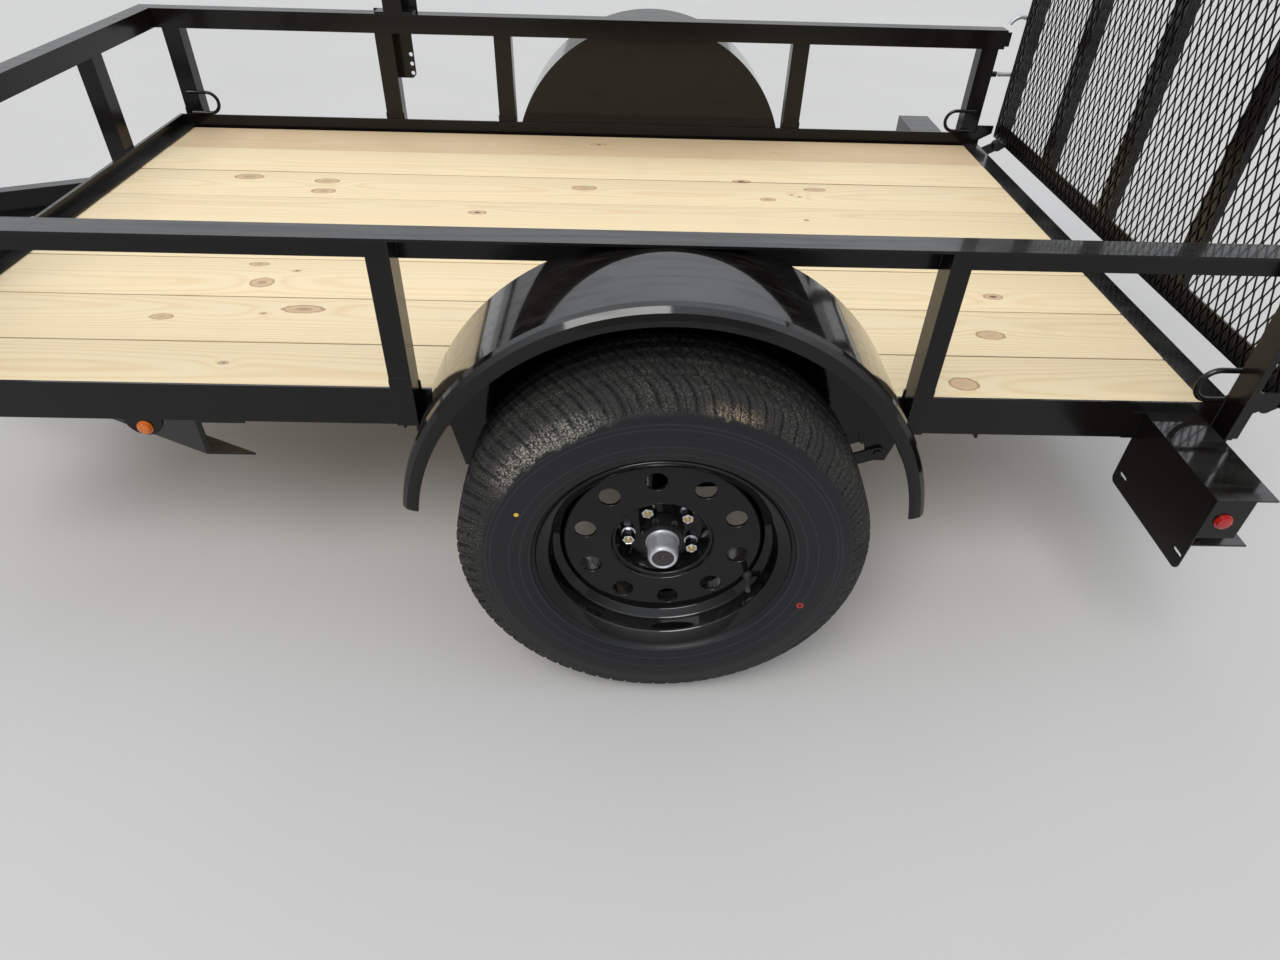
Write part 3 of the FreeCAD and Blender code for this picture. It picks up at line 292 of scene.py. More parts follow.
@dataclass(frozen=True)
class Paint:
    """Glossy paint over steel: deepest where it faces up, with a thin film of dust there.

    gloss is the roughness of clean paint. peel and waves are the depths of its fine and its broad
    unevenness, dust is how much of it lies there, edge the radius that sharp edges are eased by,
    and streaks how strongly long streaks dull it.
    """

    name: str
    colour: Colour = (0.0056, 0.0049, 0.0043)
    soil: Colour = (0.24, 0.23, 0.21)
    gloss: float = 0.12
    peel: float = 0.00003
    waves: float = 0.0004
    dust: float = 0.10
    edge: float = 0.0012
    streaks: float = 0.5

    def material(self) -> bpy.types.Material:
        """Build the paint.

        Returns:
            The material.
        """
        graph = Graph.named(self.name)
        at = graph.place()
        up = graph.upward().rise(0.25, 0.95)
        film = graph.noise(at, 7.0, 5.0, 0.6).rise(0.38, 0.72) * up * self.dust
        specks = graph.noise(at, 900.0, 1.0).rise(0.72, 0.78) * self.dust
        runs = graph.noise(graph.stretched((3.0, 60.0, 60.0)), 1.0, 4.0, 0.5).rise(0.46, 0.66)
        dirt = film.most(specks).most(runs * up * self.streaks * 0.10)
        base = graph.mix(dirt, self.colour, self.soil)
        rough = self.gloss + 0.35 * dirt + 0.08 * graph.noise(at, 30.0, 4.0).rise(0.45, 0.85)
        relief = graph.bump(graph.noise(at, 9.0, 1.5), self.waves, graph.eased(self.edge))
        normal = graph.bump(graph.noise(at, 380.0, 2.0), self.peel, relief)
        coat = 0.06 + 0.70 * up * (1.0 - 0.75 * runs * self.streaks)
        varying = {"Base Color": base, "Roughness": rough, "Normal": normal, "Coat Weight": coat}
        return graph.shade(varying, {"Specular IOR Level": 0.24, "Coat Roughness": 0.06, "Coat IOR": 1.7})


@dataclass(frozen=True)
class Knot:
    """A knot in the deck: its middle, its half length and half width, and how dark its pit is."""

    x: float
    y: float
    long: float
    wide: float
    dark: float = 1.0


@dataclass(frozen=True)
class Pine:
    """Planed pine boards: growth rings cut flat, knots that bend them, one duller board, and painted shade
    along the seams.

    start is the seam beside the first board, and pitch leads from one seam to the next. ring is
    the distance between growth rings, late the share of a ring where its wood is darkest, and
    pith the height of the trees' middle, well under the deck. seam is the colour of a painted shade
    on the boards' edges, where shade falls into the gap between them. It starts seam_half from the
    seam's middle and is full at seam_core. dull_board is the duller board's number, from 0 at the left.
    """

    name: str
    pitch: float
    start: float
    knots: tuple[Knot, ...]
    pale: Colour = (0.86, 0.71, 0.46)
    amber: Colour = (0.70, 0.47, 0.23)
    fresh: Colour = (0.84, 0.68, 0.42)
    dull: Colour = (0.52, 0.36, 0.21)
    dull_worn: Colour = (0.56, 0.40, 0.235)
    soil: Colour = (0.30, 0.24, 0.17)
    bark: Colour = (0.30, 0.13, 0.05)
    heart: Colour = (0.66, 0.48, 0.29)
    pit: Colour = (0.050, 0.024, 0.012)
    # seam: colour of the painted shade on the boards' edges beside each gap.
    seam: Colour = (0.13, 0.085, 0.045)
    seam_half: float = 0.0026
    seam_core: float = 0.0010
    dull_board: int = 7
    ring: float = 0.0062
    late: float = 0.62
    pith: float = 0.375
    grain: float = 0.00025

    def material(self) -> bpy.types.Material:
        """Build the wood.

        A ring is a distance from the middle of the board's tree, which lies under the board and to
        one side of it by chance. That distance is counted in rings, and the wood darkens where the
        count's part after the point comes near late. Knots add to the distance, which bends the rings.

        Returns:
            The material.
        """
        graph = Graph.named(self.name)
        x, y, z = graph.place().parts()
        lane = (y - self.start) / self.pitch
        number = lane.whole()
        chance = graph.node("ShaderNodeTexWhiteNoise", {"noise_dimensions": "1D"}, {"W": number})
        across = (lane - number - 0.5) * self.pitch
        mask, core, swell = self._knots(graph, x, y)
        sway = graph.noise(graph.stretched((0.55, 2.0, 2.0)), 1.0, 3.0) - 0.5
        lean = (chance - 0.5) * 0.09
        depth = z + chance * 0.05 - self.pith
        side = across + lean + sway * 0.05
        far = (side * side + depth * depth).root()
        rings = (far + sway * 0.060 + swell * 0.010 + chance * 0.5) / self.ring
        wave = abs(rings.fraction() - self.late) * 2.0
        late = 1.0 - wave.rise(0.0, 0.75)
        fibre = graph.noise(graph.stretched((6.0, 420.0, 420.0)), 1.0, 3.0)
        streak = graph.noise(graph.stretched((1.2, 60.0, 60.0)), 1.0, 3.0)
        tone = late * 0.42 + (fibre - 0.5) * 0.30 + (streak - 0.5) * 0.55 + 0.10
        wood = graph.mix(tone.rise(0.0, 1.25), self.pale, self.amber)
        rough_sawn = graph.noise(graph.stretched((9.0, 14.0, 9.0)), 1.0, 5.0, 0.8)
        duller = graph.math("COMPARE", number, float(self.dull_board), 0.5)
        stain = graph.mix(rough_sawn.rise(0.3, 0.8), self.dull, self.dull_worn)
        wood = graph.mix(duller * 0.75, wood, stain)
        wood = graph.mix((chance - 0.35) * 0.25, wood, self.fresh)
        knotty = graph.noise(graph.place(), 150.0, 4.0, 1.0)
        wood = graph.mix(mask.rise(0.04, 0.32) * (0.50 + 0.45 * knotty), wood, self.bark)
        wood = graph.mix(mask.rise(0.62, 0.96) * 0.85, wood, self.heart)
        wood = graph.mix(core * (0.55 + 0.45 * knotty.rise(0.42, 0.58)), wood, self.pit)
        dirt = graph.noise(graph.place(), 5.0, 6.0, 0.4).rise(0.58, 0.80) * 0.10
        wood = graph.mix(dirt, wood, self.soil)
        # Painted shade: each board darkens towards its edges, where shade falls into the gap between boards.
        edge = self.pitch / 2
        seam = abs(across).rise(edge - self.seam_half, edge - self.seam_core)
        wood = graph.mix(seam * 0.9, wood, self.seam)
        relief = graph.bump(late * 0.5 + fibre * 0.5, self.grain)
        return graph.shade({"Base Color": wood, "Roughness": 0.56 + 0.16 * late, "Normal": relief})

    def _knots(self, graph: Graph, x: Value, y: Value) -> tuple[Value, Value, Value]:
        """Hearts of the knots, their dark pits, and what they add to the rings' distance.

        A knot's reach is 0 at its middle and 1 on its ellipse. Its heart and its pit fade out at
        their own squares of that reach, and it adds 1 / (1 + 0.22 * square).

        Args:
            graph: the wood's graph.
            x: place along the trailer.
            y: place across it.

        Returns:
            The hearts' mask, the pits' mask and the push, which fades away from the knots.
        """
        mask: Term = 0.0
        core: Term = 0.0
        push: Term = 0.0
        rough = (graph.noise(graph.place(), 90.0, 2.0) - 0.5) * 0.6
        for knot in self.knots:
            along, over = (x - knot.x) / knot.long, (y - knot.y) / knot.wide
            square = along * along + over * over
            mask = (1.0 - (square + rough).rise(0.55, 1.25)).most(mask)
            core = ((1.0 - (square + rough * 0.25).rise(0.05, 0.24)) * knot.dark**4).most(core)
            push = push + 1.0 / (1.0 + square * 0.22)
        return mask, core, push


@dataclass(frozen=True)
class Patch:
    """Dry mud on a tyre's shoulder: its middle from the axle, its reach and its colour."""

    x: float
    z: float
    size: float
    colour: Colour


@dataclass(frozen=True)
class Mark:
    """A small mark of paint on a tyre's outer wall: a dot, or a ring of some radius."""

    x: float
    z: float
    colour: Colour
    radius: float = 0.0
    line: float = 0.0045


@dataclass(frozen=True)
class Rubber:
    """Black rubber, polished low on the sidewall, rough and dusty on the shoulder and tread.

    Distances are from the axle, at hub. way is the sign of the tyre's side. Dust starts at the
    radius dusty_from, and further out by cleaner_by to the rear of the axle. rings are the radii
    of the fine lines on the wall, painted lighter in line as a painted highlight on their ridges, and
    blocks and slant place the cuts as the relief has them, painted darker in cut as painted shade.
    """

    name: str
    hub: Place
    way: int
    blocks: int
    slant: float
    dusty_from: float = 0.290
    cleaner_by: float = 0.013
    rings: tuple[float, ...] = (0.2165, 0.2310, 0.2475, 0.2780, 0.2855)
    # line: colour of a painted highlight on the wall's rings.
    line: Colour = (0.045, 0.046, 0.050)
    # cut: colour of the painted shade in the cuts between the tread's blocks.
    cut: Colour = (0.0035, 0.0035, 0.0035)
    wall: Colour = (0.0085, 0.0088, 0.0105)
    tread: Colour = (0.020, 0.019, 0.018)
    grit: Colour = (0.17, 0.16, 0.14)
    relief: float = 0.0009
    patches: tuple[Patch, ...] = (
        Patch(-0.215, 0.205, 0.085, (0.40, 0.38, 0.33)), Patch(-0.150, 0.258, 0.090, (0.34, 0.33, 0.29)),
        Patch(0.088, 0.296, 0.058, (0.38, 0.29, 0.20)),
    )
    marks: tuple[Mark, ...] = (
        Mark(-0.2288, 0.1131, (0.75, 0.48, 0.05)), Mark(0.2326, -0.0825, (0.45, 0.03, 0.02), 0.0045, 0.0016),
    )

    def material(self) -> bpy.types.Material:
        """Build the rubber.

        Returns:
            The material.
        """
        graph = Graph.named(self.name)
        at = graph.place()
        x, y, z = at.parts()
        dx, dz = x - self.hub[0], z - self.hub[2]
        reach = (dx * dx + dz * dz).root()
        edge = (graph.noise(at, 60.0, 4.0) - 0.5) * 0.020 - self.cleaner_by * dx.rise(-0.15, -0.02)
        outer = (reach + edge).rise(self.dusty_from - 0.003, self.dusty_from + 0.005)
        grain = graph.noise(at, 420.0, 3.0)
        clods = graph.noise(at, 330.0, 5.0)
        shoulder = 1.0 - reach.rise(0.308, 0.328)
        base = graph.mix(outer, self.wall, self.tread)
        # Painted highlight: a thin lighter line at each ring's radius, where the ring's ridge catches the
        # light.
        for ring in self.rings:
            base = graph.mix((1.0 - abs(reach - ring).rise(0.0005, 0.0014)) * 0.35, base, self.line)
        dusty = graph.noise(at, 14.0, 3.0).rise(0.35, 0.70)
        base = graph.mix(outer * grain.rise(0.48, 0.68) * (0.12 + 0.34 * dusty), base, self.grit)
        for patch in self.patches:
            near = 1.0 - self._from(dx, dz, patch).rise(0.2 * patch.size, patch.size)
            base = graph.mix(near * outer * shoulder * clods.rise(0.40, 0.66) * 0.72, base, patch.colour)
        # Painted shade: the cuts between the tread's blocks are painted darker, with a patchy strength, over
        # the shoulder and tread.
        patchy_cut_shade = 0.30 + 0.55 * graph.noise(at, 75.0, 3.0).rise(0.36, 0.62)
        base = graph.mix(self._cuts(graph, dx, dz, y) * reach.rise(0.298, 0.306) * patchy_cut_shade, base, self.cut)
        facing = ((y - self.hub[1]) * self.way).rise(0.055, 0.065)
        for mark in self.marks:
            off = abs(self._from(dx, dz, mark) - mark.radius)
            base = graph.mix(facing * (1.0 - off.rise(0.7 * mark.line, mark.line)), base, mark.colour)
        ringed = graph.noise(graph.node("ShaderNodeCombineXYZ", {}, {0: reach}), 700.0, 2.0)
        rough = 0.42 + 0.40 * outer
        height = ringed * (1.0 - outer) * 0.80 + (grain * 0.5 + clods) * outer
        varying = {"Base Color": base, "Roughness": rough, "Normal": graph.bump(height, self.relief)}
        return graph.shade(varying, {"Specular IOR Level": 0.30})

    def _cuts(self, graph: Graph, dx: Value, dz: Value, y: Value) -> Value:
        """Cuts between the tread's blocks, where the tyre's surface has them and where painted shade is laid.

        Steps count the blocks round the wheel, and lean by the slant across the tread. A wide cut
        lies at the half of each step, and a fine one at two places in it.

        Args:
            graph: the rubber's graph.
            dx: place along the trailer from the axle.
            dz: height from the axle.
            y: place across the trailer.

        Returns:
            A mask, 1 in a cut.
        """
        steps = graph.math("ARCTAN2", dz, dx) * (self.blocks / TURN)
        steps = steps + (y - self.hub[1]) * (self.way * self.slant)
        wide = 1.0 - abs(steps.fraction() - 0.5).rise(0.04, 0.10)
        fine = 1.0 - abs((steps * 2.0 + 0.25).fraction() - 0.5).rise(0.05, 0.12)
        return wide.most(fine)

    @staticmethod
    def _from(dx: Value, dz: Value, spot: Union[Patch, Mark]) -> Value:
        """Distance from a patch or a mark, seen along the axle."""
        ax, az = dx - spot.x, dz - spot.z
        return (ax * ax + az * az).root()


@dataclass(frozen=True)
class Metal:
    """Bare or plated metal with a faint crystal pattern, its spangle, and cloudy stains."""

    name: str
    colour: Colour
    rough: float = 0.30
    spangle: float = 0.0
    stain: Colour = (0.35, 0.33, 0.30)
    grain: float = 0.00003
    edge: float = 0.0004
    metallic: float = 1.0

    def material(self) -> bpy.types.Material:
        """Build the metal.

        Returns:
            The material.
        """
        graph = Graph.named(self.name)
        at = graph.place()
        flakes = graph.node("ShaderNodeTexVoronoi", {}, {"Vector": at, "Scale": 160.0}, 1)
        light = flakes.parts()[0]
        cloud = graph.noise(at, 60.0, 4.0)
        base = graph.mix(cloud.rise(0.45, 0.85) * 0.5, self.colour, self.stain)
        rough = self.rough + self.spangle * light + 0.12 * cloud.rise(0.4, 0.8)
        normal = graph.bump(graph.noise(at, 500.0, 2.0), self.grain, graph.eased(self.edge))
        varying = {"Base Color": base, "Roughness": rough, "Normal": normal}
        return graph.shade(varying, {"Metallic": self.metallic})


@dataclass(frozen=True)
class Plastic:
    """Moulded plastic or soft rubber with a fine grain, or a lens under a clear coat."""

    name: str
    colour: Colour
    rough: float = 0.35
    grain: float = 0.00004
    edge: float = 0.0005
    darker: float = 0.72
    lens: bool = False

    def material(self) -> bpy.types.Material:
        """Build the plastic.

        Returns:
            The material.
        """
        graph = Graph.named(self.name)
        at = graph.place()
        cloud = graph.noise(at, 120.0, 3.0)
        darker = tuple(self.darker * part for part in self.colour)
        base = graph.mix(cloud.rise(0.35, 0.75), self.colour, darker)
        rough = self.rough + 0.08 * cloud
        normal = graph.bump(graph.noise(at, 700.0, 2.0), self.grain, graph.eased(self.edge))
        fixed = {"Coat Weight": 0.4, "Coat Roughness": 0.06} if self.lens else {}
        return graph.shade({"Base Color": base, "Roughness": rough, "Normal": normal}, fixed)


def smooth_line(points: Sequence[Place], count: int) -> np.ndarray:
    """Smooth curve through a few points: cubic between neighbours, with slopes from both sides.

    From one point to the next, t goes from 0 to 1, and the curve is (2t^3 - 3t^2 + 1) start +
    (t^3 - 2t^2 + t) slope out + (3t^2 - 2t^3) end + (t^3 - t^2) slope in.

    Args:
        points: the places that it goes through.
        count: how many points are wanted along it, evenly spread in its parameter.

    Returns:
        The points of the curve, one in each row.
    """
    knots = np.asarray(points, float)
    slopes = np.gradient(knots, axis=0)
    at = np.linspace(0, len(knots) - 1, count)
    low = np.minimum(at.astype(int), len(knots) - 2)
    t = (at - low)[:, None]
    start, end = knots[low], knots[low + 1]
    out, into = slopes[low], slopes[low + 1]
    return ((2 * t**3 - 3 * t**2 + 1) * start + (t**3 - 2 * t**2 + t) * out
            + (3 * t**2 - 2 * t**3) * end + (t**3 - t**2) * into)


def eased_line(corners: Sequence[Sequence[float]], steps: int = 4) -> np.ndarray:
    """Open line through corners, each one between its ends rounded by a true arc.

    An arc leaves the two straight runs at radius * tan(turn / 2) from the corner. It is the
    curve ((1-s)^2 A + 2s(1-s) w P + s^2 B) / ((1-s)^2 + 2s(1-s) w + s^2) between those places
    A and B, with the corner P and the weight w = cos(turn / 2).

    Args:
        corners: two coordinates and a radius for each corner.
        steps: straight pieces in each arc.

    Returns:
        The points of the line, one in each row, none twice.
    """
    table = np.asarray(corners, float)
    at, radius = table[:, :2], table[:, 2].copy()
    radius[[0, -1]] = 0
    back, ahead = np.roll(at, 1, 0) - at, np.roll(at, -1, 0) - at
    back /= np.linalg.norm(back, axis=1)[:, None] + 1e-12
    ahead /= np.linalg.norm(ahead, axis=1)[:, None] + 1e-12
    half_turn = np.arccos(np.clip(-(back * ahead).sum(1), -1, 1)) / 2
    reach = (radius * np.tan(half_turn))[:, None]
    start, end, weight = at + back * reach, at + ahead * reach, np.cos(half_turn)[:, None, None]
    s = np.linspace(0, 1, steps + 1)[None, :, None]
    low, high, both = (1 - s) ** 2, s**2, 2 * s * (1 - s) * weight
    line = (low * start[:, None] + both * at[:, None] + high * end[:, None]) / (low + both + high)
    line = line.reshape(-1, 2)
    fresh = np.linalg.norm(line - np.roll(line, 1, 0), axis=1) > SAME
    fresh[0] = True
    return line[fresh]


def across_from(axis: Place) -> tuple[np.ndarray, np.ndarray, np.ndarray]:
    """Three unit directions at right angles, the last one along an axis.

    The first is the cross product of Z and the axis, or of X where the axis is near Z, and the
    second is the cross product of the axis and the first.

    Args:
        axis: the direction, of any length.

    Returns:
        The three directions.
    """
    along = np.asarray(axis, float) / np.linalg.norm(axis)
    spare = np.array((0.0, 0.0, 1.0)) if abs(along[2]) < 0.9 else np.array((1.0, 0.0, 0.0))
    first = np.cross(spare, along)
    first /= np.linalg.norm(first)
    return first, np.cross(along, first), along


def turned(profile: Sequence[tuple[float, float]], start: Place, axis: Place, steps: int = 24,
           six: bool = False, turn: float = 0.0) -> np.ndarray:
    """Surface of a profile turned about an axis.

    A point is start + along * axis + radius * (cos a, sin a) across it. For a hexagon the
    radius is divided by the cosine of the angle to the nearest flat, once for each sixth.

    Args:
        profile: pairs of radius and distance along the axis.
        start: where the axis begins.
        axis: its direction.
        steps: points round it.
        six: whether it has six flats.
        turn: angle of the first point.

    Returns:
        A grid of points, profile by angle.
    """
    first, second, along = across_from(axis)
    radius, rise = np.asarray(profile, float).T
    angle = np.arange(steps) * TURN / steps
    stretch = 1 / np.cos((angle + TURN / 12) % (TURN / 6) - TURN / 12) if six else np.ones(steps)
    ring = (np.cos(angle + turn)[:, None] * first + np.sin(angle + turn)[:, None] * second) * stretch[:, None]
    return np.asarray(start, float) + radius[:, None, None] * ring + rise[:, None, None] * along


def carried(section: np.ndarray, path: np.ndarray, over: Place) -> np.ndarray:
    """Surface of a closed section carried along a path that lies in a plane.

    A point is the path's point + section x * side + section y * over, where side is square
    to the path and to the plane's normal.

    Args:
        section: points of the section, side and over, one in each row.
        path: points of the path.
        over: the normal of the plane that the path lies in.

    Returns:
        A grid of points, path by section.
    """
    heading = np.gradient(path, axis=0)
    heading /= np.linalg.norm(heading, axis=1)[:, None]
    side = np.cross(heading, np.asarray(over, float))
    side /= np.linalg.norm(side, axis=1)[:, None]
    up = np.cross(side, heading)
    return path[:, None] + section[None, :, :1] * side[:, None] + section[None, :, 1:] * up[:, None]


def round_section(radius: float, count: int) -> np.ndarray:
    """Points of a circle about its middle: radius * (cos a, sin a)."""
    angle = np.arange(count) * TURN / count
    return np.stack([radius * np.cos(angle), radius * np.sin(angle)], 1)


def rounded_box(width: float, height: float, radius: float, steps: int = 3) -> np.ndarray:
    """Points of a rectangle with round corners, about its middle.

    A corner's points are its arc's middle + radius * (cos a, sin a), over a quarter turn.

    Args:
        width: of the rectangle.
        height: of the rectangle.
        radius: of its corners.
        steps: straight pieces in each corner.

    Returns:
        The points, one in each row.
    """
    quarter = np.linspace(0, TURN / 4, steps + 1)
    corners = []
    for k, (sx, sy) in enumerate(((1, 1), (-1, 1), (-1, -1), (1, -1))):
        angle = quarter + k * TURN / 4
        corners.append(np.stack([sx * (width / 2 - radius) + radius * np.cos(angle),
                                 sy * (height / 2 - radius) + radius * np.sin(angle)], 1))
    return np.concatenate(corners)


class Skin:
    """The faces of one piece, gathered from grids of points."""

    def __init__(self) -> None:
        """Start with no faces."""
        self.points: list[np.ndarray] = []
        self.loops: list[np.ndarray] = []
        self.sizes: list[np.ndarray] = []
        self.count = 0

    def add(self, grid: np.ndarray, loop: bool = False, caps: bool = True) -> "Skin":
        """Add a surface whose last column joins its first. A closed one is turned to face outward.

        Args:
            grid: points, rows by columns.
            loop: whether the last row joins the first.
            caps: whether the two end rows are filled, where rows don't join.

        Returns:
            The same skin.
        """
        rows, columns = grid.shape[:2]
        index = np.arange(rows * columns).reshape(rows, columns)
        index = np.concatenate([index, index[:, :1]], 1)
        if loop:
            index = np.concatenate([index, index[:1]], 0)
        corners = [index[:-1, :-1], index[1:, :-1], index[1:, 1:], index[:-1, 1:]]
        quads = np.stack(corners, -1).reshape(-1, 4)
        flat = grid.reshape(-1, 3)
        ends = []
        if caps and not loop:
            ends = [np.arange(columns), np.arange(columns)[::-1] + (rows - 1) * columns]
        if (loop or caps) and self._volume(flat, quads, ends) < 0:
            quads = quads[:, ::-1]
            ends = [end[::-1] for end in ends]
        self.points.append(flat)
        self.loops.append(quads.reshape(-1) + self.count)
        self.sizes.append(np.full(len(quads), 4))
        for end in ends:
            self.loops.append(end + self.count)
            self.sizes.append(np.array([len(end)]))
        self.count += len(flat)
        return self

    @staticmethod
    def _volume(points: np.ndarray, quads: np.ndarray, ends: list[np.ndarray]) -> float:
        """Six times the volume inside: the sum of the corners' triple products.

        Args:
            points: every point of the surface.
            quads: four points' numbers for each face.
            ends: the points' numbers round each filled end.

        Returns:
            The sum, below 0 where the faces point inward.
        """
        middle = points.mean(0)
        a, b, c, d = (points[quads[:, k]] - middle for k in range(4))
        total = np.einsum("ij,ij->", a, np.cross(b, c)) + np.einsum("ij,ij->", a, np.cross(c, d))
        for end in ends:
            ring = points[end] - middle
            total += (np.cross(ring, np.roll(ring, -1, 0)) @ ring[0]).sum()
        return float(total)

    def piece(self, name: str, body: str, material: bpy.types.Material, slot: str = "",
              replaces: Sequence[str] = (), sharp: float = 35.0, weld: bool = False) -> bpy.types.Object:
        """Make the Blender object and let it ride.

        Args:
            name: its name.
            body: the body that it rides on.
            material: its finish.
            slot: not used.
            replaces: nodes that it stands for.
            sharp: angle in degrees over which an edge stays sharp.
            weld: whether grids that share an edge are joined and turned outward together.

        Returns:
            The object.
        """
        mesh = bpy.data.meshes.new(name)
        points, loops, sizes = (np.concatenate(part) for part in (self.points, self.loops, self.sizes))
        mesh.vertices.add(len(points))
        mesh.vertices.foreach_set("co", points.astype(np.float32).ravel())
        mesh.loops.add(len(loops))
        mesh.loops.foreach_set("vertex_index", loops.astype(np.int32))
        mesh.polygons.add(len(sizes))
        mesh.polygons.foreach_set("loop_start", (np.cumsum(sizes) - sizes).astype(np.int32))
        mesh.polygons.foreach_set("loop_total", sizes.astype(np.int32))
        mesh.update(calc_edges=True)
        if weld:
            self._join(mesh)
        faces = len(mesh.polygons)
        mesh.polygons.foreach_set("use_smooth", np.ones(faces, bool))
        mesh.set_sharp_from_angle(angle=math.radians(sharp))
        mesh.materials.append(material)
        made = bpy.data.objects.new(name, mesh)
        bpy.context.scene.collection.objects.link(made)
        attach(made, body)
        if replaces:
            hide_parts(*replaces)
        LOG.info("%s: %d faces on %s", name, faces, body)
        return made

    @staticmethod
    def _join(mesh: bpy.types.Mesh, within: float = 1e-6) -> None:
        """Merge points that coincide and turn the faces outward.

        Args:
            mesh: the mesh, changed in place.
            within: the distance at which two points are one.
        """
        shape = bmesh.new()
        shape.from_mesh(mesh)
        bmesh.ops.remove_doubles(shape, verts=shape.verts, dist=within)
        bmesh.ops.recalc_face_normals(shape, faces=shape.faces)
        shape.to_mesh(mesh)
        shape.free()


def spans(node: str, axis: int, gap: float = 0.08) -> list[tuple[float, float]]:
    """Stretches of a node along an axis, told apart by the empty gaps between its solids.

    Args:
        node: the node's name.
        axis: 0, 1 or 2.
        gap: the least empty length that parts two stretches.

    Returns:
        The low and high end of each stretch, in order.
    """
    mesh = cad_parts[node].data
    places = np.empty(len(mesh.vertices) * 3, np.float32)
    mesh.vertices.foreach_get("co", places)
    line = np.unique(places.reshape(-1, 3)[:, axis].astype(float))
    cut = np.flatnonzero(np.diff(line) > gap)
    return list(zip(line[np.r_[0, cut + 1]], line[np.r_[cut, len(line) - 1]]))


@dataclass
class Finishes:
    """Every material of the trailer, made once."""

    steel: bpy.types.Material
    sheet: bpy.types.Material
    wheel: bpy.types.Material
    mesh: bpy.types.Material
    zinc: bpy.types.Material
    chrome: bpy.types.Material
    brass: bpy.types.Material
    plug: bpy.types.Material
    grip: bpy.types.Material
    red: bpy.types.Material
    amber: bpy.types.Material

    @classmethod
    def make(cls) -> "Finishes":
        """Build each material."""
        return cls(
            steel=Paint("black_paint_on_rolled_steel", gloss=0.20, waves=0.0006).material(),
            sheet=Paint("black_paint_on_sheet", gloss=0.07, waves=0.0004, dust=0.06).material(),
            wheel=Paint("black_wheel_paint", (0.0035, 0.0035, 0.0033), gloss=0.05, peel=0.00001,
                        waves=0.00005, dust=0.03).material(),
            mesh=Paint("black_paint_on_mesh", gloss=0.28, waves=0.0001, dust=0.05, edge=0.0003).material(),
            zinc=Metal("zinc_plate", (0.60, 0.63, 0.65), rough=0.36, spangle=0.16, metallic=0.70).material(),
            chrome=Metal("chrome_plate", (0.74, 0.76, 0.80), rough=0.16, spangle=0.04).material(),
            brass=Metal("yellow_passivated_stud", (0.58, 0.43, 0.18), rough=0.32, spangle=0.06,
                        stain=(0.30, 0.22, 0.10)).material(),
            plug=Plastic("black_rubber_plug", (0.035, 0.030, 0.030), rough=0.55).material(),
            grip=Plastic("black_grip", (0.018, 0.018, 0.018), rough=0.45).material(),
            red=Plastic("red_lens", (0.42, 0.010, 0.008), rough=0.14, grain=0.00001, lens=True).material(),
            amber=Plastic("amber_lens", (0.66, 0.15, 0.008), rough=0.14, grain=0.00001, lens=True).material(),
        )


def dress(names: Iterable[str], material: bpy.types.Material) -> None:
    """Give carried-over nodes a finish.

    Args:
        names: the nodes.
        material: what they are finished in.
    """
    for name in names:
        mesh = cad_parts[name].data
        mesh.materials.clear()
        mesh.materials.append(material)
        LOG.info("%s: finish %s", name, material.name)


